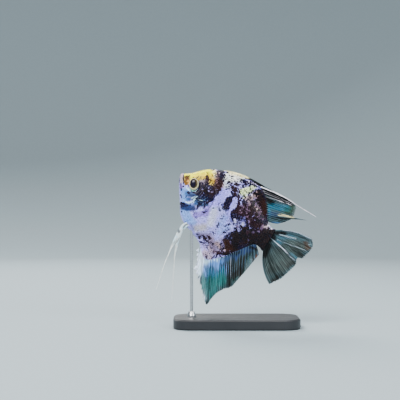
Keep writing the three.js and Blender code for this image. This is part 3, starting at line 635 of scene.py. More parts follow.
RAY_GROUND = (
    Patch(Pigment.SLATE, 0.4, 3, ((226, 266, 246, 256, 26), (228, 258, 256, 245, 5))),
    Patch(Pigment.ASH, 0.75, 4, ((227, 283, 241, 272, 11),)),
    Patch(Pigment.SKY, 0.6, 4, ((205, 270, 221, 268, 14),)),
    Patch(Pigment.ICE, 0.45, 4, ((203, 262, 216, 259, 8),)),
    Patch(Pigment.SPRAY, 0.7, 5, ((206, 292, 219, 280, 16),)),
    Patch(Pigment.HORN, 0.75, 5, ((276, 262, 290, 252, 24), (290, 242, 304, 247, 8))),
    Patch(Pigment.DRAB, 0.5, 4, ((270, 270, 275, 279, 8), (270, 246, 273, 248, 4))),
    Patch(Pigment.FOAM, 1, 2, ((203, 246, 199, 276, 7), (199, 278, 205, 300, 3), (207, 256, 213, 257, 3))),
    Patch(Pigment.AZURE, 0.5, 3, ((211, 263.6, 221, 262.6, 4.4),)),
    Patch(Pigment.ICE, 0.3, 2.4, ((202, 276, 207.4, 298, 3),)),
    Patch(Pigment.FOAM, 0.7, 0.6, ((230.6, 256, 231.2, 277, 0.7),)),
    Patch(Pigment.CREAM, 0.9, 3, ((222, 172, 248, 177, 5),)),
    Patch(Pigment.BLACK, 0.95, 2, (
        (250, 180, 262, 186, 3.4), (262, 190, 292, 204, 6), (264, 197, 272, 203, 5),
    )),
    Patch(Pigment.BLUSH, 1, 0.5, (
        (262, 190.6, 277, 196.8, 0.5), (277, 196.8, 292, 204, 0.5), (266, 196.4, 276, 199.8, 0.5),
        (276, 199.8, 292, 205.2, 0.5),
    )),
    Patch(Pigment.MOSS, 0.7, 3, ((288, 210, 294, 210, 8),)),
    Patch(Pigment.CREAM, 1, 1, ((279, 214.6, 294, 217, 2),)),
    Patch(Pigment.BLACK, 0.95, 0.8, ((276, 217.4, 296, 219.2, 1.6), (296, 219.2, 306, 221.4, 1.2))),
    Patch(Pigment.HORN, 0.5, 3, ((264, 256, 268, 282, 4),)),
    Patch(Pigment.FOAM, 0.8, 0.6, (
        (284, 230, 298, 232.4, 1.4), (298, 232.4, 311, 238.8, 1.4), (269.6, 237.2, 278, 244.4, 0.6),
        (278, 244.4, 286, 251.6, 1.5), (286, 251.6, 294, 260.4, 1.2), (277, 239.2, 291, 245.2, 0.3),
        (291, 245.2, 307, 250.8, 0.4), (279, 234.6, 296, 238.8, 1),
    )),
    Patch(Pigment.OCHRE, 0.6, 3, ((305, 243, 308, 248, 5),)),
    Patch(Pigment.EARTH, 0.6, 3, (
        (288, 266, 293, 263, 4), (272, 280, 282, 275.6, 4.5), (298, 253, 304, 257, 4),
    )),
    Patch(Pigment.BLACK, 0.95, 3, (
        (270, 232.6, 284, 233.6, 4.4), (268, 240, 273, 237, 7), (268, 246, 265, 254, 7),
        (252, 247, 259, 250, 3),
    )),
)


MAP_UNIT = 0.78  # mm
MAP_SNOUT = (180.0, 178.0)  # where the snout is on the map


def brushed(u: Array, v: Array, stroke: Stroke, softness: float) -> Array:
    """Brushes one stroke on.

    Args:
        u, v: places on the map.
        stroke: the stroke.
        softness: how wide its soft edge is.

    Returns:
        How far it covers each place, 1 inside.
    """
    x0, y0, x1, y1, width = stroke
    ax, ay = x1 - x0, y1 - y0
    t = np.clip(((u - x0) * ax + (v - y0) * ay) / max(ax * ax + ay * ay, 1e-9), 0, 1)
    distance = np.hypot(u - x0 - t * ax, v - y0 - t * ay)
    return 1 - smooth(width / 2 - softness / 2, width / 2 + softness / 2, distance)


def covered(u: Array, v: Array, layers: Sequence[Patch | Fleck]) -> Array:
    """Brushes layers of strokes on.

    Args:
        u, v: places on the map.
        layers: the layers.

    Returns:
        How strongly the strongest of them covers each place.
    """
    cover = np.zeros(np.shape(u))
    for layer in layers:
        for stroke in layer.strokes:
            cover = np.maximum(cover, layer.strength * brushed(u, v, stroke, layer.softness))
    return cover


def map_place(x: Array, z: Array) -> tuple[Array, Array]:
    """Finds places on the level map that the markings are set out on.

    Args:
        x, z: places in the fish's own frame.

    Returns:
        The map's u, towards the tail of the posed fish, and v, downwards, in squares of MAP_UNIT.
    """
    u = MAP_SNOUT[0] + (x * math.cos(PITCH) + z * math.sin(PITCH)) / MAP_UNIT
    v = MAP_SNOUT[1] + (x * math.sin(PITCH) - z * math.cos(PITCH)) / MAP_UNIT
    return u, v


def layered(u: Array, v: Array, patches: Sequence[Patch], base: Pigment) -> Array:
    """Lays patches of pigment one over another.

    Args:
        u, v: places on the map.
        patches: what to lay, lowest first.
        base: the pigment under them all.

    Returns:
        Linear red, green and blue on the last axis.
    """
    colour = np.broadcast_to(base.linear, np.shape(u) + (3,)).copy()
    for patch in patches:
        colour = blend(colour, patch.pigment.linear, covered(u, v, [patch])[..., None])
    return colour


def web_colour(places: Array) -> Array:
    """Returns the colour of the middle fins' webs at places."""
    return layered(*map_place(places[:, 0], places[:, 2]), FIN_GROUND, Pigment.SMOKE)


def ray_colour(places: Array) -> Array:
    """Returns the colour of the middle fins' rays at places."""
    return layered(*map_place(places[:, 0], places[:, 2]), RAY_GROUND, Pigment.RAY)


def plain_colour(pigment: Pigment) -> Paint:
    """Returns a paint of one pigment all over."""
    return lambda places: np.broadcast_to(pigment.linear, (len(places), 3))


def pelvic_colour(places: Array) -> Array:
    """Colours the belly fins white with a pearly shade, and with dark specks near the root.

    Args:
        places: places in the fish's own frame.

    Returns:
        Linear red, green and blue, one row a place.
    """
    x, z = places[:, 0], places[:, 2]
    grain = Grain(57)
    shade = smooth(-0.2, 1.2, grain(x, z, 1.6))
    colour = blend(Pigment.WHITE.linear, Pigment.ICE.linear, (0.4 + 0.6 * shade)[:, None])
    specks = smooth(0.5, 0.9, grain((x + 40) * 1.3, z * 0.4, 1.1)) * (1 - smooth(14, 28, -z - 27))
    colour = blend(colour, Pigment.NAVY.linear, (0.8 * specks)[:, None])
    return blend(colour, Pigment.WHITE.linear, (0.7 * smooth(8, 24, -z - 30))[:, None])


@dataclass
class Markings:
    """The marbling of one side of the fish, read as smooth fields that the finishes turn into blots.

    The right side has the same marbling bent by a coarser grain, as no two sides are alike.
    """

    side: Side
    jitter: float = 0.3  # how far edges stray, and how far apart their bumps are, in map squares
    jitter_size: float = 1.5
    wander: float = 2.6  # how far the right side's blots are moved, in the same way
    wander_size: float = 11.0
    barest: float = -0.2  # the depth of the barest ground

    def bent(self, x: Array, z: Array) -> tuple[Array, Array]:
        """Reads the map with the strokes' edges made uneven.

        Args:
            x, z: places in the fish's own frame.

        Returns:
            The map's u and v.
        """
        grains = [Grain(i + (11 if self.side is Side.LEFT else 31)) for i in range(4)]
        u, v = map_place(x, z)
        du = grains[0](u, v, self.jitter_size) * self.jitter
        dv = grains[1](u, v, self.jitter_size) * self.jitter
        if self.side is Side.RIGHT:
            du = du + grains[2](u, v, self.wander_size) * self.wander
            dv = dv + grains[3](u, v, self.wander_size) * self.wander
        return u + du, v + dv

    def body(self, x: Array, z: Array) -> Array:
        """Reads the body's marbling.

        Args:
            x, z: places in the fish's own frame.

        Returns:
            Seven columns on the last axis: the ground's colour, the ink's colour, and the ink's depth.
        """
        u, v = self.bent(x, z)
        ground = layered(u, v, GROUND, Pigment.LILAC)
        tone = layered(u, v, INK_TONES, Pigment.NAVY)
        depth = covered(u, v, INK)
        for fleck in BARE:
            depth = depth - covered(u, v, [fleck])
        return np.concatenate([ground, tone, np.maximum(depth, self.barest)[..., None]], -1)


# ---------------------------------------------------------------- the body's form


GILL_OPENING = spline(
    [
        [16.5, 25], [20.8, 17], [24.5, 10.8], [28.3, 6.5], [30.8, 0.5], [31.4, -6.5], [30, -13.6],
        [26.6, -20.2], [22, -25.6], [18.5, -30],
    ],
    48,
)
CHEEK_EDGE = spline(
    [
        [21.4, 9.5], [19.9, 3], [19.4, -5.5], [18.6, -9.6], [16.8, -13], [13.9, -14.4], [11.2, -15.4],
        [8.5, -20],
    ],
    36,
)
MOUTH = spline([[-1.4, 3.7], [0.4, 3.5], [2.2, 0.6], [4.8, -2.7], [5.9, -4.2]], 24)
UPPER_LIP = spline([[0.8, 5.6], [2.6, 3.2], [4.4, 0.4], [6.3, -2.4], [6.9, -4.4]], 20)
NOSTRIL = (4.7, 3.5)
LATERAL_LINES = (
    spline([[25.5, 11.6], [33, 15.4], [41, 17.4], [49, 17.2], [57, 13.6], [62, 9.5]], 40),
    spline([[60, -2.6], [68, -3.2], [76, -4.2], [84, -4.6]], 16),
)
THROAT_FOLDS = (
    spline([[8.4, -9.4], [13.4, -15.8], [19.4, -22.2], [24.6, -25.6]], 16),
    spline([[6.6, -8.6], [11.4, -15.9], [17.2, -22.9], [22.6, -26.6]], 16),
)


@dataclass(frozen=True)
class Orbit:
    """Where an eye sits, and how large its opening is along and across the posed head."""

    x: float = 11.9
    z: float = 1.6
    along: float = 3.95
    upright: float = 4.85
    depth: float = 2.5
    sunk: float = 1.35  # how far its middle lies under the skin
    turn: float = math.radians(14)  # how far it looks forward

    def out(self, x: Array, z: Array) -> Array:
        """Measures from the eye's middle.

        Args:
            x, z: places in the fish's own frame.

        Returns:
            The distance as a share of the opening's reach there.
        """
        dx, dz = x - self.x, z - self.z
        level = dx * math.cos(PITCH) + dz * math.sin(PITCH)
        height = -dx * math.sin(PITCH) + dz * math.cos(PITCH)
        return np.hypot(level / self.along, height / self.upright)


class BodyForm:
    """The fish's body as closed form outlines, with the relief of its head on top."""

    back = Curve([
        [-1, 2.6], [-0.4, 3.9], [1.6, 5.0], [4, 6.8], [6.2, 8.4], [8.5, 10.9], [11.3, 13.9], [15, 17.2],
        [19, 19.8], [24.6, 22.5], [30.5, 24.3], [38, 26.3], [46, 27.5], [52, 27.8], [56, 27.5], [60, 26.1],
        [64, 23.2], [66.8, 20.4], [71.7, 13.4], [76.4, 7.3], [80.5, 5.0], [STANDARD_LENGTH, 5.6],
    ])
    belly = Curve([
        [-1, 1.6], [-0.4, 0.2], [0.6, -2.2], [2, -4.5], [4.5, -8.3], [9.1, -14.8], [12, -19.4],
        [14.9, -23.4], [18.3, -26.3], [21, -27.8], [26, -29.8], [30.7, -31.4], [35.2, -32.8], [39.8, -35.2],
        [44, -39.5], [48, -42.8], [52, -42.8], [56, -39.6], [62.2, -33], [66.2, -27.3], [71.3, -19.8],
        [76.5, -13.2], [80.8, -13.0], [STANDARD_LENGTH, -14.6],
    ])
    half_width = Curve([
        [-1, 1.1], [1, 2.1], [4, 3.2], [8, 4.6], [13, 5.9], [20, 6.8], [27, 7.2], [38, 6.9], [50, 5.8],
        [60, 4.5], [70, 3.1], [78, 2.2], [STANDARD_LENGTH, 1.5],
    ])
    widest = Curve([
        [-1, 2], [5, -0.5], [12, -3], [25, -5], [45, -4], [65, -2.5], [STANDARD_LENGTH, -4.5],
    ])
    back_sheath = Curve([[28, 0], [38, 2.5], [48, 6], [58, 9.5], [66, 8.5], [74, 2.5], [80, 0]])
    belly_sheath = Curve([[34, 0], [42, 4.5], [49, 10], [54, 9.5], [62, 7.5], [70, 3.5], [77, 0]])
    SHEATH_EDGE = 0.55  # half the thickness of the scaled fin bases at their edge
    SHEATH_ROOT = 0.5  # and how much more it is where they leave the flesh
    SHEATH_RUN = 8.0
    LENS = 0.62  # how full a section is, 0.5 for an oval
    RIM_ROUND = 1.3  # over what depth the back and belly close to an edge

    def __init__(self) -> None:
        """Sets the eye's place, which the relief leaves room for."""
        self.orbit = Orbit()

    def half_thickness(self, x: Array, z: Array) -> Array:
        """Finds how thick the body is, before its edges close.

        Args:
            x, z: places in the fish's own frame.

        Returns:
            Half the thickness.
        """
        middle = self.widest(x)
        above = z > middle
        rim = np.where(above, self.back(x), self.belly(x))
        flesh = np.where(above, rim - self.back_sheath(x), rim + self.belly_sheath(x))
        share = (z - middle) / (flesh - middle)
        lens = self.half_width(x) * np.maximum(0, 1 - share**2) ** self.LENS
        from_rim = np.minimum(1, np.abs(rim - z) / self.SHEATH_RUN)
        return np.hypot(lens, self.SHEATH_EDGE + self.SHEATH_ROOT * from_rim)

    def section(self, x: Array, turn: Array) -> Array:
        """Places a point of a cross-section: turn 0 is the left side's middle and a right angle the back.

        Args:
            x: how far along the body.
            turn: how far round the section.

        Returns:
            Its place in the fish's own frame.
        """
        middle = self.widest(x)
        rise = np.sin(turn)
        reach = np.where(rise > 0, self.back(x) - middle, middle - self.belly(x))
        z = middle + reach * rise
        rim = np.where(rise > 0, self.back(x), self.belly(x))
        closing = np.clip(np.abs(rim - z) / self.RIM_ROUND, 0, 1)
        half = self.half_thickness(x, z) * np.sqrt(np.maximum(closing * (2 - closing), 0))
        return np.stack([x + 0 * z, -np.sign(np.round(np.cos(turn), 9)) * half, z], -1)

    def relief(self, x: Array, z: Array) -> Array:
        """Finds how far the skin stands out of the plain form.

        Args:
            x, z: places in the fish's own frame.

        Returns:
            Heights in mm.
        """
        height = np.zeros(np.shape(x))
        # the cut of the mouth between two lips, and the fold behind the upper one
        mouth, passed = line_distance(x, z, MOUTH)
        open_part = smooth(0, 0.04, passed) * (1 - smooth(0.93, 1.0, passed))
        height += open_part * (0.34 * bell(np.abs(mouth) - 0.95, 0.6) - 0.85 * bell(mouth, 0.36))
        lip, passed = line_distance(x, z, UPPER_LIP)
        height += (0.22 * bell(lip, 0.6) - 0.2 * bell(lip - 0.95, 0.35)) * np.sin(np.pi * passed) ** 0.5
        # the nostril's rim and hole, then the orbit's rim, ditch and socket
        nostril = np.hypot(x - NOSTRIL[0], z - NOSTRIL[1])
        height += 0.16 * bell(nostril - 0.85, 0.3) - 0.6 * bell(nostril, 0.42)
        out = self.orbit.out(x, z)
        height += 0.3 * bell(out - 1.13, 0.1) - 0.2 * bell(out - 1.36, 0.1)
        height -= 1.3 * (1 - smooth(0.9, 1.02, out))
        # the gill cover's raised edge and the groove behind it, lower towards the throat
        cover, passed = line_distance(x, z, GILL_OPENING)
        on_cover = smooth(0.16, 0.3, passed) * (1 - smooth(0.9, 1.0, passed))
        on_cover = on_cover * (1 - 0.7 * smooth(0.55, 0.75, passed))
        inside = 0.5 * bell(cover, 3.2) * (cover <= 0)
        behind = blend(0.5 * bell(cover, 0.12), -0.42 * bell(cover - 0.55, 0.8), smooth(0.05, 0.3, cover))
        height += on_cover * np.where(cover <= 0, inside, behind)
        # the cheek plate
        cheek, passed = line_distance(x, z, CHEEK_EDGE)
        ends = np.sin(np.pi * np.clip(passed, 0, 1)) ** 0.4
        height += ends * np.where(cheek > 0, -0.2 * bell(cheek - 0.35, 0.5), 0.24 * bell(cheek, 1.8))
        for fold in THROAT_FOLDS:
            away, passed = line_distance(x, z, fold)
            height += (0.16 * bell(away, 0.7) - 0.22 * bell(away - 0.8, 0.35)) * np.sin(np.pi * passed)
        for line in LATERAL_LINES:
            away, passed = line_distance(x, z, line)
            height += 0.1 * bell(away, 0.5) * np.sin(np.pi * passed) ** 0.5
        return height


@dataclass
class BodyNet:
    """The finished surface of the body as a net of rings and sides, with its normals and marbling."""

    rings: int = 250
    sides: int = 360
    head_rings: int = 118
    head_end: float = 22.0
    form: BodyForm = field(default_factory=BodyForm)

    def __post_init__(self) -> None:
        """Works out the net's places, normals and marbling."""
        head = np.linspace(0, 1, self.head_rings, endpoint=False) ** 1.25
        rear = np.linspace(self.head_end, STANDARD_LENGTH - GAP, self.rings - self.head_rings)
        self.x = np.concatenate([SNOUT_END + (self.head_end - SNOUT_END) * head, rear])
        self.turn = np.arange(self.sides) * 2 * math.pi / self.sides
        x, turn = np.meshgrid(self.x, self.turn, indexing="ij")
        plain = self.form.section(x, turn)
        edge = np.abs(plain[..., 1])
        height = self.form.relief(plain[..., 0], plain[..., 2]) * smooth(0.2, 1.2, edge)
        depth = np.minimum(COAT_DEPTH, 0.45 * edge)
        self.places = plain + self.normals_of(plain) * (height - depth)[..., None]
        self.normals = self.normals_of(self.places)

    @staticmethod
    def normals_of(places: Array) -> Array:
        """Finds which way a net of rings and sides faces.

        Args:
            places: its nodes.

        Returns:
            Outward unit normals.
        """
        along = np.gradient(places, axis=0)
        around = (np.roll(places, -1, axis=1) - np.roll(places, 1, axis=1)) / 2
        normal = np.cross(along, around)
        return normal / np.maximum(np.linalg.norm(normal, axis=-1, keepdims=True), 1e-9)

    def marbled(self) -> Array:
        """Returns the marbling's seven columns at every node, each side with its own."""
        left, right = (Markings(side).body(self.places[..., 0], self.places[..., 2]) for side in Side)
        return blend(left, right, smooth(-0.15, 0.15, self.places[..., 1])[..., None])


# ---------------------------------------------------------------- mesh work


class Bench:
    """Small mesh jobs that every sub-assembly uses."""

    @staticmethod
    def clear() -> None:
        """Deselects every object, as operators act on all that is selected."""
        bpy.ops.object.select_all(action="DESELECT")

    @staticmethod
    def take(name: str) -> Piece:
        """Names what an operator has just made.

        Args:
            name: the piece's name.

        Returns:
            The piece.
        """
        piece = bpy.context.object
        piece.name = name
        piece.data.name = name
        return piece

    @classmethod
    def ball(cls, name: str, sides: int, rings: int) -> Piece:
        """Adds a ball of radius 1 about the origin, its poles on z.

        Args:
            name: the piece's name.
            sides, rings: how finely it is cut.

        Returns:
            The piece.
        """
        cls.clear()
        bpy.ops.mesh.primitive_uv_sphere_add(segments=sides, ring_count=rings, radius=1)
        return cls.take(name)

    @classmethod
    def sheet(cls, name: str, columns: int, rows: int) -> tuple[Piece, Array, Array]:
        """Adds a flat sheet to be shaped later.

        Args:
            name: the piece's name.
            columns, rows: how finely it is cut.

        Returns:
            The piece, and how far across and along it each vertex is, from 0 to 1.
        """
        cls.clear()
        bpy.ops.mesh.primitive_grid_add(x_subdivisions=columns, y_subdivisions=rows, size=1)
        piece = cls.take(name)
        cls.move(piece, cls.places(piece) + np.array([0.5, 0.5, 0]))
        flat = np.clip(cls.places(piece), 0, 1)
        return piece, flat[:, 0], flat[:, 1]

    @staticmethod
    def places(piece: Piece) -> Array:
        """Returns the places of a piece's vertices, one a row."""
        flat = np.empty(len(piece.data.vertices) * 3)
        piece.data.vertices.foreach_get("co", flat)
        return flat.reshape(-1, 3)

    @staticmethod
    def move(piece: Piece, places: Array) -> None:
        """Sets the places of a piece's vertices."""
        piece.data.vertices.foreach_set("co", np.ascontiguousarray(places, float).ravel())
        piece.data.update()

    @staticmethod
    def paint(piece: Piece, name: str, values: Array) -> None:
        """Writes a number or a colour for each vertex, which materials read by name.

        Args:
            piece: the piece to write on.
            name: the attribute's name.
            values: one number a vertex, or one row of red, green and blue.
        """
        if values.ndim == 1:
            layer = piece.data.attributes.new(name, "FLOAT", "POINT")
            layer.data.foreach_set("value", values.astype(np.float32))
            return
        layer = piece.data.attributes.new(name, "FLOAT_COLOR", "POINT")
        opaque = np.concatenate([values, np.ones((len(values), 1))], 1)
        layer.data.foreach_set("color", opaque.astype(np.float32).ravel())

    @staticmethod
    def lay_out(piece: Piece, name: str, places: Array) -> None:
        """Gives a piece a UV map.

        Args:
            piece: the piece.
            name: the map's name.
            places: u and v, one row a vertex.
        """
        layer = piece.data.uv_layers.new(name=name)
        corners = np.empty(len(piece.data.loops), int)
        piece.data.loops.foreach_get("vertex_index", corners)
        layer.uv.foreach_set("vector", places[corners].astype(np.float32).ravel())

    @staticmethod
    def joined(name: str, places: Array, faces: Array) -> Piece:
        """Makes one piece of many small like shapes.

        Args:
            name: the piece's name.
            places: all vertices, one a row.
            faces: four vertices a face, one face a row.

        Returns:
            The piece, smooth shaded.
        """
        mesh = bpy.data.meshes.new(name)
        mesh.vertices.add(len(places))
        mesh.vertices.foreach_set("co", np.ascontiguousarray(places, np.float32).ravel())
        mesh.loops.add(faces.size)
        mesh.loops.foreach_set("vertex_index", faces.ravel().astype(np.int32))
        mesh.polygons.add(len(faces))
        mesh.polygons.foreach_set("loop_start", np.arange(0, faces.size, 4, dtype=np.int32))
        mesh.update(calc_edges=True)
        mesh.validate()
        piece = bpy.data.objects.new(name, mesh)
        bpy.context.scene.collection.objects.link(piece)
        mesh.shade_smooth()
        return piece

    @classmethod
    def select(cls, piece: Piece) -> None:
        """Selects one piece alone and makes it active."""
        cls.clear()
        piece.select_set(True)
        bpy.context.view_layer.objects.active = piece

    @classmethod
    def face_out(cls, piece: Piece) -> None:
        """Turns all of a closed piece's faces outwards."""
        cls.select(piece)
        bpy.ops.object.mode_set(mode="EDIT")
        bpy.ops.mesh.select_all(action="SELECT")
        bpy.ops.mesh.normals_make_consistent(inside=False)
        bpy.ops.object.mode_set(mode="OBJECT")

    @classmethod
    def pick(cls, piece: Piece, kind: str, wanted: Callable[..., bool]) -> None:
        """Goes into edit mode with just some faces or edges of a piece selected.

        Args:
            piece: the piece.
            kind: "FACE" or "EDGE".
            wanted: says of one face or edge whether it is selected.
        """
        cls.select(piece)
        bpy.ops.object.mode_set(mode="EDIT")
        bpy.ops.mesh.select_mode(type=kind)
        bpy.ops.mesh.select_all(action="DESELECT")
        bpy.ops.object.mode_set(mode="OBJECT")
        for part in piece.data.polygons if kind == "FACE" else piece.data.edges:
            part.select = wanted(part)
        bpy.ops.object.mode_set(mode="EDIT")

    @classmethod
    def marble(cls, piece: Piece, marbling: Array, plate: Array) -> None:
        """Paints a piece of the body.

        Args:
            piece: the piece.
            marbling: the marbling's seven columns.
            plate: a random number for each scale, which sets its own ink and its painted highlight, 0.5 for
                none.
        """
        cls.paint(piece, "ground", marbling[:, 0:3])
        cls.paint(piece, "tone", marbling[:, 3:6])
        cls.paint(piece, "ink_depth", marbling[:, 6])
        cls.paint(piece, "plate", plate)

    @classmethod
    def stretch_web(
        cls, piece: Piece, places: Array, stain: Array, bone: Array, cover: Array, lanes: Array,
        thickness: float = 0.12,
    ) -> None:
        """Shapes a flat sheet into a fin's web, paints it and gives it its thickness.

        Args:
            piece: the sheet.
            places: its places in the fish's own frame.
            stain: its colour between the rays.
            bone: its colour along the rays.
            cover: how opaque it is.
            lanes: places across and along the rays, which its pattern follows.
            thickness: in mm, half of it to each side.
        """
        cls.move(piece, to_row(places))
        cls.paint(piece, "stain", stain)
        cls.paint(piece, "bone", bone)
        cls.paint(piece, "cover", cover)
        cls.lay_out(piece, "Fin", lanes)
        cls.select(piece)
        solid = piece.modifiers.new("thickness", "SOLIDIFY")
        solid.thickness = thickness * MM
        solid.offset = 0
        bpy.ops.object.modifier_apply(modifier=solid.name)
        cls.face_out(piece)

    @classmethod
    def finish(cls, piece: Piece, material: Material, slot: str, replaced: Sequence[str] = ()) -> None:
        """Dresses a piece and attaches it to the root body.

        Args:
            piece: the piece.
            material: its finish.
            slot: not used.
            replaced: the solids that the piece stands for.
        """
        piece.data.materials.clear()
        piece.data.materials.append(material)
        piece.data.shade_smooth()
        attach(piece, "root")
        if replaced:
            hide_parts(*replaced)
        log.info("%s: %d faces", piece.name, len(piece.data.polygons))


def tubes(paths: Array, radii: Array, sides: int) -> tuple[Array, Array, Array]:
    """Draws closed tapering tubes along lines, in mm in the fish's frame.

    Args:
        paths: places, as tubes by points by 3.
        radii: the tube's radius at each point.
        sides: how many sides a tube has.

    Returns:
        All the vertices, all the faces, and for each vertex which tube and point it belongs to.
    """
    count, steps, _ = paths.shape
    along = np.gradient(paths, axis=1)
    along /= np.maximum(np.linalg.norm(along, axis=-1, keepdims=True), 1e-9)
    across = np.broadcast_to(np.array([0.0, 1.0, 0.0]), along.shape)
    plane = np.cross(along, across)
    plane /= np.maximum(np.linalg.norm(plane, axis=-1, keepdims=True), 1e-9)
    outward = np.cross(plane, along)
    turn = np.arange(sides) * 2 * math.pi / sides
    ring = (
        plane[:, :, None] * np.cos(turn)[None, None, :, None]
        + outward[:, :, None] * np.sin(turn)[None, None, :, None]
    )
    places = paths[:, :, None] + ring * radii[:, :, None, None]
    vertex = np.arange(steps * sides).reshape(steps, sides)
    ahead = np.roll(vertex, -1, axis=1)
    walls = np.stack([vertex[:-1], vertex[1:], ahead[1:], ahead[:-1]], -1).reshape(-1, 4)
    caps = []
    for ring_of in (vertex[0], vertex[-1][::-1]):
        caps.extend(ring_of[[0, k, k + 1, k + 2]] for k in range(1, sides - 2, 2))
    faces = np.concatenate([walls, np.array(caps)])
    every = faces[None] + (np.arange(count) * steps * sides)[:, None, None]
    owner = np.stack(np.indices((count, steps, sides))[:2], -1)
    return places.reshape(-1, 3), every.reshape(-1, 4), owner.reshape(-1, 2)


# ---------------------------------------------------------------- the skin


class Skin:
    """One marbled skin from lips to tail root, with eye openings, nostrils, lips and gill plates."""

    NODES = ("head", "upper_jaw", "lower_jaw", "gill_cover_left", "gill_cover_right", "trunk", "tail_stem")

    POLE = 0.1  # how far the end points stand off the first and last ring

    def __init__(self, net: BodyNet) -> None:
        """Keeps the net that the skin follows."""
        self.net = net

    def build(self, material: Material) -> None:
        """Makes the skin from a ball whose rings and sides are laid on the net.

        Args:
            material: the skin's finish.
        """
        net = self.net
        piece = Bench.ball("skin", net.sides, net.rings + 1)
        unit = Bench.places(piece)
        ring = np.rint(np.arccos(np.clip(unit[:, 2], -1, 1)) / math.pi * (net.rings + 1)).astype(int) - 1
        side = np.rint(np.arctan2(unit[:, 1], unit[:, 0]) / (2 * math.pi) * net.sides).astype(int) % net.sides
        held = np.clip(ring, 0, net.rings - 1)
        places = net.places[held, side]
        pole = (ring < 0) | (ring >= net.rings)
        ends = net.places.mean(axis=1)
        places[pole] = ends[held[pole]] + np.array([self.POLE, 0, 0]) * np.sign(ring[pole])[:, None]
        Bench.move(piece, to_row(places))
        Bench.marble(piece, net.marbled()[held, side], np.full(len(places), 0.5))
        Bench.face_out(piece)
        Bench.finish(piece, material, "skin", self.NODES)


# ---------------------------------------------------------------- the coat of scales


class SideTable:
    """One side of the finished body, read by distance along it and by height round its girth."""

    STEP = 0.4
    GIRTH_STEP = 0.3
    GIRTH = 56.0
    OVER = 24  # how many of the net's sides it runs on over the back and the belly

    def __init__(self, net: BodyNet, side: Side) -> None:
        """Samples the net.

        Args:
            net: the body's net.
            side: which side.
        """
        quarter = net.sides // 4
        walk = np.arange(-quarter - self.OVER, quarter + self.OVER + 1)
        index = walk % net.sides if side is Side.LEFT else (net.sides // 2 - walk) % net.sides
        values = np.concatenate([net.places[:, index], net.normals[:, index]], -1)
        steps = np.linalg.norm(np.diff(values[..., :3], axis=1), axis=-1)
        girth = np.concatenate([np.zeros((len(values), 1)), np.cumsum(steps, axis=1)], 1)
        girth -= girth[:, [np.argmin(np.abs(walk))]]
        self.heights = np.arange(-self.GIRTH, self.GIRTH + self.GIRTH_STEP, self.GIRTH_STEP)
        rows = np.stack([
            np.stack([np.interp(self.heights, girth[i], values[i, :, k]) for k in range(6)], -1)
            for i in range(len(values))
        ])
        self.x = np.arange(SNOUT_END, STANDARD_LENGTH - GAP, self.STEP)
        place = np.interp(self.x, net.x, np.arange(len(net.x)))
        low = np.clip(place.astype(int), 0, len(net.x) - 2)
        surface = blend(rows[low], rows[low + 1], (place - low)[:, None, None])
        self.values = np.concatenate([surface, Markings(side).body(surface[..., 0], surface[..., 2])], -1)

    def read(self, x: Array, height: Array) -> Array:
        """Reads between the samples.

        Args:
            x: distance along the body.
            height: height round its girth.

        Returns:
            Thirteen columns: the place, its normal, and the marbling's seven.
        """
        a = np.clip((x - self.x[0]) / self.STEP, 0, len(self.x) - 1.001)
        b = np.clip((height - self.heights[0]) / self.GIRTH_STEP, 0, len(self.heights) - 1.001)
        i, j = a.astype(int), b.astype(int)
        f, g = (a - i)[..., None], (b - j)[..., None]
        low = blend(self.values[i, j], self.values[i + 1, j], f)
        high = blend(self.values[i, j + 1], self.values[i + 1, j + 1], f)
        return blend(low, high, g)


class Region(Enum):
    """The parts of the body that wear scales of their own size."""

    FLANK = "flank"
    BREAST = "breast"
    FIN_BASE = "fin_base"
    GILL_COVER = "gill_cover"


@dataclass(frozen=True)
class ScaleRow:
    """How one region's scales are sized and spaced, in mm."""

    region: Region
    spacing: float  # from scale to scale round the girth
    pitch: float  # from row to row along the body
    width: float
    length: float
    tilt: float
    thickness: float


SCALE_ROWS = (
    ScaleRow(Region.FLANK, 1.9, 1.05, 2.25, 3.0, 0.25, 0.085),
    ScaleRow(Region.BREAST, 1.35, 0.8, 1.65, 2.2, 0.2, 0.075),
    ScaleRow(Region.FIN_BASE, 1.15, 0.72, 1.4, 1.9, 0.17, 0.07),
    ScaleRow(Region.GILL_COVER, 1.35, 0.8, 1.6, 2.1, 0.17, 0.07),
)


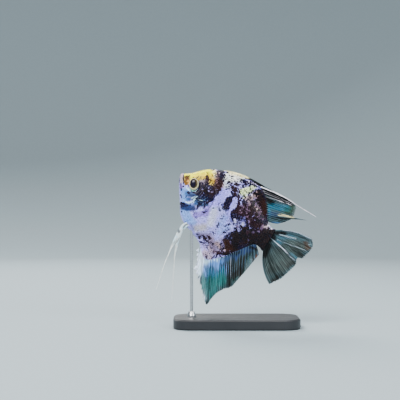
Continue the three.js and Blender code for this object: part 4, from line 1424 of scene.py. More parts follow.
class ScaleCoat:
    """Thin overlapping scales over one side of the body, roots forward and round edges back."""

    ALONG = np.array([0.0, 0.38, 0.62, 0.8, 0.93, 1.0])
    ACROSS = np.array([-1.0, -0.55, 0.0, 0.55, 1.0])
    SHOULDER = 0.55  # how far along its length a scale is widest
    ROOT_SINK = 0.1
    EDGE_DROOP = 0.04
    OWN_SHADE = 0.45  # how much a scale's marbling is that of its middle all over
    UNEVEN_SIZE = 0.05
    UNEVEN_TURN = 0.05
    UNEVEN_LIFT = 0.012
    FIRST_ROOT = 10.0
    GIRTH = 50.0
    RIM_CLEAR = 0.35  # from a scale's tip to the edge of the back or the belly
    MIDDLE_CLEAR = 0.12  # and to the body's middle plane
    PATCH = 0.003  # a scale's size on the bake's map, and the map's reach in mm
    MAP_LENGTH = 92.0
    MAP_GIRTH = 110.0

    def __init__(self, net: BodyNet, side: Side) -> None:
        """Samples the side that the scales lie on."""
        self.form = net.form
        self.side = side
        self.table = SideTable(net, side)
        self.random = np.random.default_rng(71 if side is Side.LEFT else 72)

    def regions(self, x: Array, z: Array, length: float) -> dict[Region, Array]:
        """Says which places lie in which region.

        Args:
            x, z: where scales would end.
            length: how long a scale is.

        Returns:
            A mask for each region.
        """
        form = self.form
        cover, passed = line_distance(x, z, GILL_OPENING)
        cheek, _ = line_distance(x, z, CHEEK_EDGE)
        behind = cover > 0.35 * length
        above = z > form.back(x) - form.back_sheath(x) * smooth(30, 44, x)
        below = z < form.belly(x) + form.belly_sheath(x) * smooth(36, 46, x)
        fin_base = behind & (above | below) & (x > 34) & (x < 79)
        breast = behind & ~fin_base & (z < -19.5) & (x < 38)
        on_cover = (cover < -0.45) & (cheek > 0.75 * length) & (passed > 0.16) & (passed < 0.86)
        behind_eye = (form.orbit.out(x, z) > 1.75) & (x > 15.5) & (z > -9) & (z < 9)
        return {
            Region.FLANK: behind & ~fin_base & ~breast & (x < STANDARD_LENGTH - 0.2),
            Region.BREAST: breast,
            Region.FIN_BASE: fin_base,
            Region.GILL_COVER: on_cover | (cover < -0.5) & (cheek <= 0) & behind_eye,
        }

    def roots(self, row: ScaleRow) -> tuple[Array, Array]:
        """Sets out one region's scale roots in rows, every other row half a space over.

        Args:
            row: the region's sizes.

        Returns:
            Distance along the body and height round the girth of each root.
        """
        x = np.arange(self.FIRST_ROOT, STANDARD_LENGTH, row.pitch)
        heights = np.arange(-self.GIRTH, self.GIRTH, row.spacing)
        grid_x, grid_h = np.meshgrid(x, heights, indexing="ij")
        grid_h = grid_h + np.where(np.arange(len(x)) % 2, row.spacing / 2, 0)[:, None]
        grid_x = grid_x + self.random.normal(0, 0.05 * row.pitch, grid_x.shape)
        grid_h = grid_h + self.random.normal(0, 0.03 * row.spacing, grid_x.shape)
        tip_x, tip_y, tip_z = np.moveaxis(self.table.read(grid_x + 0.8 * row.length, grid_h)[..., 0:3], -1, 0)
        rim = np.where(tip_z > self.form.widest(tip_x), self.form.back(tip_x), self.form.belly(tip_x))
        keep = self.regions(tip_x, tip_z, row.length)[row.region]
        keep = keep & (np.abs(tip_z - rim) > self.RIM_CLEAR) & (tip_y * self.side > self.MIDDLE_CLEAR)
        return grid_x[keep], grid_h[keep]

    def lie(self, x: Array, z: Array) -> Array:
        """Turns the scales' tips towards the back and the belly.

        Args:
            x, z: where the scales' roots are.

        Returns:
            Angles, positive towards the back.
        """
        form = self.form
        up = smooth(-9, 2, z - (form.back(x) - form.back_sheath(x)))
        up = up * smooth(34, 50, x) * (1 - smooth(72, 80, x))
        down = smooth(-9, 2, (form.belly(x) + form.belly_sheath(x)) - z)
        down = down * smooth(40, 52, x) * (1 - smooth(70, 80, x))
        breast = smooth(0, 12, -18 - z) * (1 - smooth(24, 40, x))
        return 0.5 * up - 0.75 * down - 0.45 * breast

    def build(self, row: ScaleRow, material: Material) -> None:
        """Makes one region's scales as one piece.

        Args:
            row: the region's sizes.
            material: the scales' finish.
        """
        root_x, root_h = self.roots(row)
        count = len(root_x)
        along, across = np.meshgrid(self.ALONG, self.ACROSS, indexing="ij")
        shoulder = np.where(
            along < self.SHOULDER,
            0.7 + 0.3 * np.sin(np.pi / 2 * np.minimum(along / self.SHOULDER, 1)),
            np.maximum(1 - (np.maximum(along - self.SHOULDER, 0) / 0.47) ** 2.3, 0) ** 0.5,
        )
        size = 1 + self.random.normal(0, self.UNEVEN_SIZE, (count, 1, 1))
        turn = self.random.normal(0, self.UNEVEN_TURN, (count, 1, 1))
        lift = self.random.normal(0, self.UNEVEN_LIFT, (count, 1, 1))
        middle = self.table.read(root_x, root_h)
        turn = turn + self.lie(middle[:, 0], middle[:, 2])[:, None, None]
        forward = row.length * size * along
        sideways = row.width / 2 * size * across * shoulder
        x = root_x[:, None, None] + forward * np.cos(turn) - sideways * np.sin(turn)
        h = root_h[:, None, None] + forward * np.sin(turn) + sideways * np.cos(turn)
        here = self.table.read(x, h)
        top = -self.ROOT_SINK + row.tilt * along - self.EDGE_DROOP * across**2 * row.width + lift * along
        upper = here[..., :3] + here[..., 3:6] * top[..., None]
        lower = here[..., :3] + here[..., 3:6] * (top - row.thickness)[..., None]
        rows, columns = along.shape
        inner = (slice(None), slice(1, rows - 1), slice(1, columns - 1))
        top_index = np.arange(rows * columns).reshape(rows, columns)
        under_index = top_index.copy()
        under_index[1:-1, 1:-1] = rows * columns + np.arange((rows - 2) * (columns - 2)).reshape(rows - 2, -1)

        def quads(index: Array) -> Array:
            """Returns the faces of one sheet of the scale."""
            corners = (index[:-1, :-1], index[1:, :-1], index[1:, 1:], index[:-1, 1:])
            return np.stack(corners, -1).reshape(-1, 4)

        def both_sheets(over: Array, under: Array) -> Array:
            """Returns values for all the vertices, one row each, the under sheet's after the top's."""
            wide = over.shape[-1]
            sheets = (over.reshape(count, -1, wide), under[inner].reshape(count, -1, wide))
            return np.concatenate(sheets, 1).reshape(-1, wide)

        def spread(*values: Array) -> Array:
            """Returns per-place numbers for all the vertices, a column each."""
            grid = np.stack(np.broadcast_arrays(*values, np.empty((count, rows, columns)))[:-1], -1)
            return both_sheets(grid, grid)

        pattern = np.concatenate([quads(top_index), quads(under_index)[:, ::-1]])
        if self.side is Side.RIGHT:
            pattern = pattern[:, ::-1]
        places = both_sheets(upper, lower)
        faces = (pattern[None] + (np.arange(count) * (len(places) // count))[:, None, None]).reshape(-1, 4)
        piece = Bench.joined(f"scales_{row.region.value}_{self.side.label}", to_row(places), faces)
        centre = self.table.read(root_x + 0.75 * row.length, root_h)[:, None, None]
        marbling = blend(here[..., 6:], centre[..., 6:], self.OWN_SHADE)
        Bench.marble(piece, both_sheets(marbling, marbling), spread(self.random.random((count, 1, 1)))[:, 0])
        Bench.lay_out(piece, "Plate", spread(along, across * 0.5 + 0.5))
        u = 0.02 + 0.96 * (root_x + 1) / self.MAP_LENGTH
        v = 0.5 + root_h / self.MAP_GIRTH
        Bench.lay_out(piece, "OFBake", spread(
            u[:, None, None] + (along - 0.5) * self.PATCH, v[:, None, None] + across * 0.5 * self.PATCH
        ))
        Bench.finish(piece, material, "skin")


# ---------------------------------------------------------------- fins


@dataclass(frozen=True)
class FinPlan:
    """How one middle fin is set out.

    Ray keys are [share along the root, root x, root z, tip x, tip z, bow], or without root z where the root
    follows the body's outline.
    """

    name: str
    keys: tuple[tuple[float, ...], ...]
    outline: Curve | None
    sway: float  # how far the ray tips lean sideways, in mm
    ripple: float  # how far they go to and fro from there
    waves: float  # how many half waves that makes along the root
    soft_rays: int
    notch: float  # how far the web is cut back between ray tips, as a share of them
    run: float  # how far the stains run along the rays, as a share of them
    ray_radius: float
    sign: int = 1  # the way from the outline out to the fin, 1 for the back
    lines: int = 1  # pale lines on the web for each soft ray
    spines: int = 0
    spine_end: float = 0.0  # share of the root that the hard spines take
    tooth: float = 0.0  # how far the web is cut back between the spines' tips, in mm
    jut: float = 0.0  # how far those tips stand out in front, in mm
    columns: int = 360
    rows: int = 44


FIN_PLANS = (
    FinPlan(
        "dorsal",
        (
            (0, 27, 30, 25.4, 0), (0.12, 32, 37, 27.4, 0.1), (0.25, 38, 45, 28.9, 0.2),
            (0.38, 45, 54, 29.5, 0.3), (0.5, 51.5, 66, 29.7, 0.4), (0.58, 56, 79, 30.5, 0.5),
            (0.66, 60, 87, 29.7, 0.5), (0.73, 63.5, 89.5, 27.8, 0.4), (0.79, 66.5, 90.4, 25.2, 0.2),
            (0.85, 69.5, 91, 22.2, 0), (0.9, 72, 91, 19.2, -0.2), (0.95, 74.2, 88, 14.6, -0.3),
            (1, 76.4, 83.5, 10, -0.2),
        ),
        BodyForm.back, sway=1.6, ripple=0.7, waves=3, soft_rays=20, notch=0.05, run=0.02, ray_radius=0.2,
        spines=12, spine_end=0.6, tooth=0.6,
    ),
    FinPlan(
        "anal",
        (
            (0, 40.4, 42.6, -40.2, 0), (0.08, 42.4, 45.6, -47, 0.2), (0.16, 44.6, 49, -53.6, 0.4),
            (0.24, 46.9, 53.2, -58.6, 0.5), (0.32, 49.2, 60, -65, 0.5), (0.4, 51.6, 66, -70.4, 0.4),
            (0.46, 53.6, 70, -72.6, 0.3), (0.52, 55.8, 70.6, -66.8, 0.2), (0.6, 58.8, 71.8, -61.2, 0),
            (0.68, 62.2, 74.8, -55.8, -0.2), (0.76, 65.4, 78.8, -51, -0.3), (0.84, 69, 80.4, -43.4, -0.3),
            (0.92, 73.4, 82.2, -31.4, -0.2), (1, 78.6, 83.8, -18, 0.1),
        ),
        BodyForm.belly, sway=-1.4, ripple=0.8, waves=4, soft_rays=26, notch=0.035, run=0.08, ray_radius=0.24,
        sign=-1, spines=10, spine_end=0.38, tooth=2.4, jut=1.8,
    ),
    FinPlan(
        "caudal",
        (
            (0, 85.3, 5.5, 112, 14.4, 2.2), (0.12, 85.3, 4.3, 115.2, 11.4, 1.6),
            (0.24, 85.3, 3, 116, 7.6, 1), (0.35, 85.3, 1.6, 115.2, 2.2, 0.5),
            (0.43, 85.3, 0.4, 114.2, -2.4, 0.2), (0.49, 85.3, -0.7, 110.8, -4.6, 0),
            (0.56, 85.3, -2.1, 112.2, -9, -0.2), (0.7, 85.3, -5.6, 110.4, -17.6, -0.8),
            (0.85, 85.3, -10, 107.9, -25.7, -1.5), (1, 85.3, -14.5, 102.8, -33.4, -2.3),
        ),
        None, sway=-3.2, ripple=1.1, waves=5, soft_rays=20, notch=0.03, run=0.03, ray_radius=0.2, lines=2,
    ),
)

THIN_WEB = (
    Fleck(0.75, 6, ((295, 207, 294, 222, 5), (284, 227, 272, 230, 4))),
    Fleck(0.5, 4, ((251, 259, 245, 274, 5), (271, 226, 283, 225, 6))),
    Fleck(0.35, 4, (
        (240, 278, 231, 286, 3), (198, 268, 202, 292, 3), (292, 206, 296, 214, 5), (284, 221, 292, 222, 3),
        (291, 257, 297, 261, 4), (304, 236, 311, 241, 3), (221, 290, 225, 295, 4),
    )),
    Fleck(0.2, 4, ((204, 284, 216, 292, 14),)),
)


RAY_SIDES = 6
RAY_SHADES = 20  # how many shades of light and dark there are across a fin


class MiddleFin:
    """A rayed fin in the body's middle plane: a thin web over tapering rays that branch towards its edge."""

    WEB_COVER = 1.08
    INSET = 1.3  # how far the web and the rays reach into the body
    FIRST, LAST = 0.012, 0.994  # where along the root the outermost rays stand
    SPINE_GAP = 0.02  # from the last hard spine to the soft rays' part
    UNEVEN_RAYS = 0.38
    BRANCHES = ((0.0, 0.44, 10), (0.42, 0.74, 8), (0.72, 1.0, 8))  # a ray's stretches and their steps
    BRANCH_WIDTHS = (0.95, 0.62, 0.42)  # their radii, as shares of the plan's
    BRANCH_APART = (0, 0.25, 0.125)  # how far they part, as shares of the rays' spacing
    SPINE_WIDTH = 1.15
    PLEAT = 0.14  # how far the web swells between its rays, in mm
    TORN = 0.012  # how far its edge is torn, as a share of the rays

    def __init__(self, plan: FinPlan) -> None:
        """Roots the fin's ray keys on the body's outline.

        Args:
            plan: how the fin is set out.
        """
        self.plan = plan
        rows = []
        for key in plan.keys:
            if plan.outline is None:
                rows.append(key)
                continue
            share, x, *rest = key
            slope = (plan.outline(x + 0.1) - plan.outline(x - 0.1)) / 0.2
            length = math.hypot(1, slope)
            root = (x - plan.sign * slope * GAP / length, plan.outline(x) + plan.sign * GAP / length)
            rows.append((share, *root, *rest))
        self.rays = Curve(rows)
        self.grain = Grain(91 + len(plan.name))

    def at(self, s: Array, r: Array) -> Array:
        """Places a point of the fin.

        Args:
            s: share along the root.
            r: share along the ray.

        Returns:
            Its place in the fish's own frame.
        """
        plan = self.plan
        ray = self.rays(s)
        root_x, root_z, tip_x, tip_z, bow = (ray[..., k] for k in range(5))
        length = np.hypot(tip_x - root_x, tip_z - root_z)
        off = 4 * bow * r * (1 - r) / length
        x = root_x + (tip_x - root_x) * r - (tip_z - root_z) * off
        z = root_z + (tip_z - root_z) * r + (tip_x - root_x) * off
        y = plan.sway * r**2 + plan.ripple * r * np.sin(plan.waves * math.pi * s)
        return np.stack([x, y, z], -1)

    def inset(self, s: Array) -> Array:
        """Returns how far the fin reaches into the body, as a share of each ray's length."""
        ray = self.rays(s)
        return self.INSET / np.hypot(ray[..., 2] - ray[..., 0], ray[..., 3] - ray[..., 1])

    def soft_shares(self) -> Array:
        """Returns where along the root the soft rays stand."""
        return np.linspace(self.plan.spine_end + self.FIRST, self.LAST, self.plan.soft_rays)

    def past_spine(self, s: Array) -> Array:
        """Returns how far each place is past the hard spine before it, as a share of their spacing."""
        step = (self.plan.spine_end - self.SPINE_GAP) / max(self.plan.spines - 1, 1)
        return np.mod((s - self.FIRST) / step, 1)

    def edge(self, s: Array) -> Array:
        """Finds how far out the web reaches, cut back between ray tips and a little torn.

        Args:
            s: share along the root.

        Returns:
            Shares of the rays' length.
        """
        plan = self.plan
        soft = plan.soft_rays / (1 - plan.spine_end)
        cut = plan.notch * (1 - np.abs(np.sin(math.pi * (s - plan.spine_end) * soft * 2))) * 0.6
        if plan.spines:
            deep = np.minimum(plan.tooth * self.inset(s) / self.INSET, 0.4)
            hard = deep * np.sin(math.pi * self.past_spine(s) ** 0.6)
            cut = np.where(s < plan.spine_end - self.SPINE_GAP, hard, cut)
        return 1 - cut - np.abs(self.TORN * self.grain(s * 60, s * 0, 1.0))

    def teeth(self, s: Array, r: Array) -> Array:
        """Pushes the web's front edge out at the hard spines, as a ragged row of teeth.

        Args:
            s: share along the root.
            r: share along the ray.

        Returns:
            How far each place moves.
        """
        plan = self.plan
        ray = self.rays(s)
        run = ray[..., 2:4] - ray[..., 0:2]
        run /= np.linalg.norm(run, axis=-1, keepdims=True)
        near = smooth(0.45, 1.0, r / self.edge(s)) * (1 - smooth(0.2, 0.3, s)) * (s < plan.spine_end)
        ragged = 1 + 0.4 * self.grain(s * 40, s * 0 + 5, 1.0)
        out = plan.jut * near * (1 - self.past_spine(s)) ** 1.4 * ragged
        return np.stack([run[..., 1] * out, 0 * out, -run[..., 0] * out], -1)

    def build_web(self, material: Material) -> None:
        """Makes the fin's web.

        Args:
            material: its finish.
        """
        plan = self.plan
        piece, s, along = Bench.sheet(f"{plan.name}_web", plan.columns, plan.rows)
        inset = self.inset(s)
        r = along * (self.edge(s) + inset) - inset
        base = self.soft_shares()
        phase = (s - base[0]) / (base[1] - base[0])
        places = self.at(s, r)
        places[:, 1] += self.PLEAT * np.clip(r * 3, 0, 1) * np.cos(2 * math.pi * phase)
        places += self.teeth(s, r)
        run = self.at(s, r + plan.run * np.clip(r * 4, 0, 1) * self.grain(phase * 1.4, r * 2.2, 1.0))
        thin = covered(*map_place(run[:, 0], run[:, 2]), THIN_WEB)
        cover = np.clip(self.WEB_COVER - thin - 0.06 * r, 0.1, 1.1)
        lanes = np.stack([phase * plan.lines, r * 10], -1)
        Bench.stretch_web(piece, places, web_colour(run), ray_colour(run), cover, lanes)
        Bench.finish(piece, material, "fin", (f"{plan.name}_fin",))

    def stretches(self) -> Lines:
        """Lays out every ray as stretches of line.

        Returns:
            Groups of like stretches: places (lines by points by 3) and radii (lines by points).
        """
        plan = self.plan
        groups = []
        if plan.spines:
            s = np.linspace(self.FIRST, plan.spine_end - self.SPINE_GAP, plan.spines)[:, None]
            r = np.linspace(0, 1, 22)[None] * (1 + self.inset(s)) - self.inset(s)
            radius = plan.ray_radius * self.SPINE_WIDTH * (1 - 0.7 * np.maximum(r, 0))
            groups.append((self.at(s + 0 * r, r), radius))
        base = self.soft_shares()
        step = base[1] - base[0]
        centres = base
        for level, (start, end, steps) in enumerate(self.BRANCHES):
            r = np.linspace(start, end, steps)[None]
            s = centres[:, None] + 0 * r
            if level:
                sign = np.tile([-1.0, 1.0], len(centres))
                spread = sign * step * self.BRANCH_APART[level]
                parents = np.repeat(centres, 2)
                s = parents[:, None] + spread[:, None] * smooth(start, start + 0.22, r)
                centres = parents + spread
            s = np.clip(s, 0.002, 0.998)
            reach = r + 0 * s
            if not level:
                reach[:, 0] = -self.inset(s[:, 0])
            width = plan.ray_radius * self.BRANCH_WIDTHS[level]
            taper = 1 - 0.5 * (r - start) / (end - start)
            groups.append((self.at(s, reach), width * taper + 0 * s))
        return groups

    def build_rays(self, material: Material) -> None:
        """Makes the fin's spines and rays as one piece, in the finish given."""
        build_lines(f"{self.plan.name}_rays", self.stretches(), material, uneven=self.UNEVEN_RAYS)


def build_lines(
    name: str, groups: Lines, material: Material, slot: str = "fin", paint: Paint = ray_colour,
    uneven: float = 0.0,
) -> None:
    """Joins groups of tapering tubes into one dressed piece.

    Args:
        name: the piece's name.
        groups: places and radii of like tubes, in the fish's own frame.
        material: the piece's finish.
        slot: the record's material slot.
        paint: gives the tubes' colour.
        uneven: how much lighter or darker than each other a fin's tubes are.
    """
    places, faces, along, shades = [], [], [], []
    grain = Grain(23)
    used = 0
    for paths, radii in groups:
        verts, quads, owner = tubes(paths, np.broadcast_to(radii, paths.shape[:2]), RAY_SIDES)
        steps = np.linalg.norm(np.diff(paths, axis=1), axis=-1)
        run = np.concatenate([np.zeros((len(paths), 1)), np.cumsum(steps, axis=1)], 1)
        across = owner[:, 0] * (RAY_SHADES / len(paths))
        places.append(verts)
        faces.append(quads + used)
        along.append(run[owner[:, 0], owner[:, 1]])
        shades.append(np.clip(1 + uneven * grain(across, 0 * across, 0.8), 0.35, 1.8))
        used += len(verts)
    every = np.concatenate(places)
    piece = Bench.joined(name, to_row(every), np.concatenate(faces))
    Bench.paint(piece, "stain", paint(every) * np.concatenate(shades)[:, None])
    run = np.concatenate(along)
    Bench.lay_out(piece, "Fin", np.stack([0 * run, run], -1))
    Bench.face_out(piece)
    Bench.finish(piece, material, slot)


@dataclass(frozen=True)
class Strand:
    """One soft strand of a thread: where it lies across it, how far along it ends, and its radius."""

    across: float
    end: float
    radius: float


def long_strands(radius: float) -> tuple[Strand, ...]:
    """Returns the strands of one of the back fin's threads, the longest with the radius given."""
    return Strand(-0.3, 0.86, radius * 0.7), Strand(0.28, 0.7, radius * 0.7), Strand(0.0, 1.0, radius)


@dataclass(frozen=True)
class ThreadPlan:
    """How one thread is set out, its line as [share of its length, x, y, z, width] keys."""

    name: str
    keys: tuple[tuple[float, ...], ...]
    strands: tuple[Strand, ...]
    seed: int
    slot: str
    paint: Paint
    steps: int  # how many points each strand's line has
    web_end: float  # the share of the length at which the web has run out
    cover: float  # how opaque the web is at its root
    fray: float  # how ragged the web's sides are
    replaced: tuple[str, ...] = ()

    @classmethod
    def pelvic(cls, side: Side, *keys: tuple[float, ...]) -> "ThreadPlan":
        """Returns the plan of one of the belly fins."""
        strands = (
            Strand(-0.42, 0.4, 0.3), Strand(-0.2, 0.7, 0.36), Strand(0.05, 1.0, 0.5),
            Strand(0.26, 0.56, 0.32), Strand(0.44, 0.3, 0.26),
        )
        return cls(
            f"pelvic_{side.label}", keys, strands, 60 if side is Side.LEFT else 61, "thread", pelvic_colour,
            steps=70, web_end=0.5, cover=1.0, fray=0.4, replaced=(f"pelvic_fin_{side.label}",),
        )


THREADS = (
    ThreadPlan.pelvic(
        Side.LEFT, (0, 24.6, -1.6, -26.2, 3.2), (0.05, 22.2, -2.0, -30.4, 3.4),
        (0.11, 21.4, -2.6, -34.6, 2.8), (0.2, 22.2, -3.5, -42.5, 1.9), (0.34, 23.3, -4.4, -51.2, 1.2),
        (0.56, 25.3, -5.4, -63, 0.7), (1, 30.2, -7.2, -82.9, 0.3),
    ),
    ThreadPlan.pelvic(
        Side.RIGHT, (0, 25.6, 1.6, -26.6, 3), (0.05, 23.2, 2.0, -30.4, 3.2),
        (0.11, 22.6, 2.5, -34.4, 2.6), (0.2, 24.8, 3.2, -42.8, 1.8), (0.34, 27.7, 3.9, -51.6, 1.1),
        (0.56, 33.3, 4.6, -62.4, 0.7), (1, 46.1, 6.2, -86.5, 0.3),
    ),
    ThreadPlan(
        "dorsal_filament",
        (
            (0, 57, 0, 27.5, 0.5), (0.3, 71.6, 0.4, 29.9, 0.7), (0.55, 82.2, 1.1, 30.6, 0.7),
            (0.8, 94.5, 2.2, 30.5, 0.6), (1, 106.4, 3.4, 30.6, 0.3),
        ),
        long_strands(0.56), 70, "fin", plain_colour(Pigment.BLUSH),
        steps=50, web_end=0.97, cover=0.95, fray=0.15,
    ),
    ThreadPlan(
        "dorsal_spike", ((0, 79, 0.5, 14.8, 2.0), (0.4, 89, 1.2, 19.2, 2.0), (1, 101.6, 2.4, 24.6, 0.6)),
        long_strands(0.3), 71, "fin", ray_colour, steps=50, web_end=0.97, cover=0.95, fray=0.15,
    ),
)


class Thread:
    """A long fin thread: a narrow ragged web near its root and a few strands of unequal length."""

    COLUMNS, ROWS = 14, 90
    TAPER = 0.72  # how much thinner a strand is at its end
    WAVE = 0.1  # how far strands stray within the web, as a share of its width
    DRIFT = 0.25  # and out of it, in mm
    CRINKLE = 0.16
    CLOSING = 0.85  # how much narrower the web is where it ends

    def __init__(self, plan: ThreadPlan) -> None:
        """Keeps the thread's line and draws its raggedness."""
        self.plan = plan
        self.line = Curve(plan.keys)
        self.grain = Grain(plan.seed)

    def at(self, across: Array, r: Array) -> Array:
        """Places points of the thread.

        Args:
            across: how far off the thread's line, as a share of its width.
            r: share of its length.

        Returns:
            Places in the fish's own frame.
        """
        here = self.line(r)
        ahead, behind = self.line(np.minimum(r + 0.01, 1)), self.line(np.maximum(r - 0.01, 0))
        run = ahead[..., [0, 2]] - behind[..., [0, 2]]
        run /= np.linalg.norm(run, axis=-1, keepdims=True)
        off = across * here[..., 3]
        x, z = here[..., 0] - run[..., 1] * off, here[..., 2] + run[..., 0] * off
        return np.stack([x, here[..., 1], z], -1)

    def strands(self) -> Lines:
        """Lays the strands out as tapering lines.

        Returns:
            Each strand's places and radii, as a group of one line.
        """
        groups = []
        for i, strand in enumerate(self.plan.strands):
            share = np.linspace(0, 1, self.plan.steps)
            r = strand.end * share
            wave = self.WAVE * self.grain(r * 14 + 9 * i, r * 0 + i, 1.0) * smooth(0.02, 0.3, r)
            path = self.at(strand.across + wave, r)
            path[:, 1] += self.DRIFT * self.grain(r * 9 + 5 * i, r * 0 + 7 + i, 1.0) * smooth(0.1, 0.6, r)
            groups.append((path[None], strand.radius * (1 - self.TAPER * share[None] ** 0.8)))
        return groups

    def build(self, web: Material, rays: Material) -> None:
        """Makes the web between the strands, and the strands.

        Args:
            web: the web's finish.
            rays: the strands' finish.
        """
        plan = self.plan
        piece, flat, along = Bench.sheet(f"{plan.name}_web", self.COLUMNS, self.ROWS)
        r = along * plan.web_end
        side = (flat - 0.5) * 2
        narrow = 1 - (r / plan.web_end) ** 2 * self.CLOSING
        rag = np.abs(self.grain(r * 70, np.sign(side) * 3 + 0 * r, 1.0)) * smooth(0.1, 0.4, r / plan.web_end)
        places = self.at(side * 0.5 * narrow * np.clip(1 - plan.fray * rag, 0.25, 1), r)
        places[:, 1] += self.CRINKLE * np.sin(side * 7) * smooth(0.0, 0.15, r)
        colour = plan.paint(places)
        cover = plan.cover * (1 - 0.45 * r / plan.web_end)
        Bench.stretch_web(piece, places, 0.8 * colour, colour, cover, np.stack([side * 3, r * 40], -1))
        Bench.finish(piece, web, plan.slot, plan.replaced)
        build_lines(f"{plan.name}_strands", self.strands(), rays, plan.slot, plan.paint)


@dataclass
class BreastFin:
    """A clear fan behind one gill cover, held out from the flank."""

    side: Side
    form: BodyForm
    x: float = 33.4
    z: float = -6.4
    clear: float = 0.85  # how far its root stands off the body
    root: float = 4.6  # how tall its root is
    length: float = 21.0
    lean: float = -0.25  # the way it points, positive towards the back
    spread: tuple[float, float] = (0.46, -0.66)  # its first and last ray's angle from there
    swing: float = 0.5  # how far it opens from the body, as a share of its length
    columns: int = 60
    rows: int = 24
    cover: float = 0.04  # how opaque the web is at its root
    thickness: float = 0.1
    rays: int = 13
    ray_radius: float = 0.17
    tip_radius: float = 0.13
    fork: float = 0.48  # where along them the rays part

    def at(self, s: Array, r: Array) -> Array:
        """Places points of the fan.

        Args:
            s: share across it.
            r: share along its rays.

        Returns:
            Places in the fish's own frame.
        """
        start = self.form.half_thickness(np.array(self.x), np.array(self.z)) + self.clear
        angle = self.lean + self.spread[0] + (self.spread[1] - self.spread[0]) * s
        reach = self.length * np.sin(np.pi * (0.15 + 0.72 * s)) ** 0.7 * r
        z = self.z + self.root * (0.5 - s) + np.sin(angle) * reach
        cup = self.swing * reach - 0.012 * reach**2 + 0.9 * np.sin(np.pi * s) * r
        return np.stack([self.x + np.cos(angle) * reach * 0.86, self.side * (start + cup), z], -1)

    def build(self, web: Material, rays: Material) -> None:
        """Makes the fan's web and rays.

        Args:
            web: the web's finish.
            rays: the rays' finish.
        """
        piece, s, r = Bench.sheet(f"pectoral_web_{self.side.label}", self.columns, self.rows)
        places = self.at(s, r * (1 - 0.02 * np.abs(np.sin(np.pi * s * 24))))
        stain, bone = (plain_colour(pigment)(places) for pigment in (Pigment.PERIWINKLE, Pigment.ICE))
        lanes = np.stack([s * (self.rays - 1), r * 10], -1)
        Bench.stretch_web(piece, places, stain, bone, self.cover * (1 - 0.5 * r), lanes, self.thickness)
        Bench.finish(piece, web, "fin", (f"pectoral_fin_{self.side.label}",))
        s = np.linspace(0.02, 0.98, self.rays)[:, None]
        r = np.linspace(0, self.fork + 0.02, 10)[None]
        groups = [(self.at(s + 0 * r, r + 0 * s), self.ray_radius * (1 - 0.6 * r) + 0 * s)]
        r = np.linspace(self.fork, 1, 12)[None]
        apart = 0.014 * smooth(self.fork, 0.8, r)
        fork = np.concatenate([s - apart, s + apart])
        radius = self.tip_radius * (1 - r / 1.3) + 0 * fork
        groups.append((self.at(np.clip(fork, 0, 1), r + 0 * fork), radius))
        build_lines(f"pectoral_rays_{self.side.label}", groups, rays, paint=plain_colour(Pigment.ICE))


# ---------------------------------------------------------------- eyes


@dataclass
class Eye:
    """One domed eye: a wide black pupil in a thin pale gold ring, with flesh-coloured white before it."""

    side: Side
    form: BodyForm
    sides: int = 96
    rings: int = 64
    dome: float = 0.88  # under 1 is fuller than an oval

    def build(self, material: Material) -> None:
        """Makes the eye.

        Args:
            material: its finish.
        """
        orbit = self.form.orbit
        piece = Bench.ball(f"eye_{self.side.label}_ball", self.sides, self.rings)
        level, upright, out = Bench.places(piece).T
        reach = np.hypot(level, upright)
        x = level * orbit.along * math.cos(PITCH) - upright * orbit.upright * math.sin(PITCH)
        z = level * orbit.along * math.sin(PITCH) + upright * orbit.upright * math.cos(PITCH)
        turn = self.side * orbit.turn
        y = self.side * np.abs(out) ** self.dome * np.sign(out) * orbit.depth
        deep = self.form.half_thickness(np.array(orbit.x), np.array(orbit.z)) - orbit.sunk
        places = np.stack([
            orbit.x + x * math.cos(turn) - y * math.sin(turn),
            self.side * deep + x * math.sin(turn) + y * math.cos(turn),
            orbit.z + z,
        ], -1)
        Bench.move(piece, to_row(places))
        Bench.paint(piece, "level", level)
        Bench.paint(piece, "upright", upright)
        Bench.paint(piece, "reach", np.where(out > 0, reach, 2 - reach))
        Bench.face_out(piece)
        Bench.finish(piece, material, "eye", (f"eye_{self.side.label}",))


# ---------------------------------------------------------------- finishes


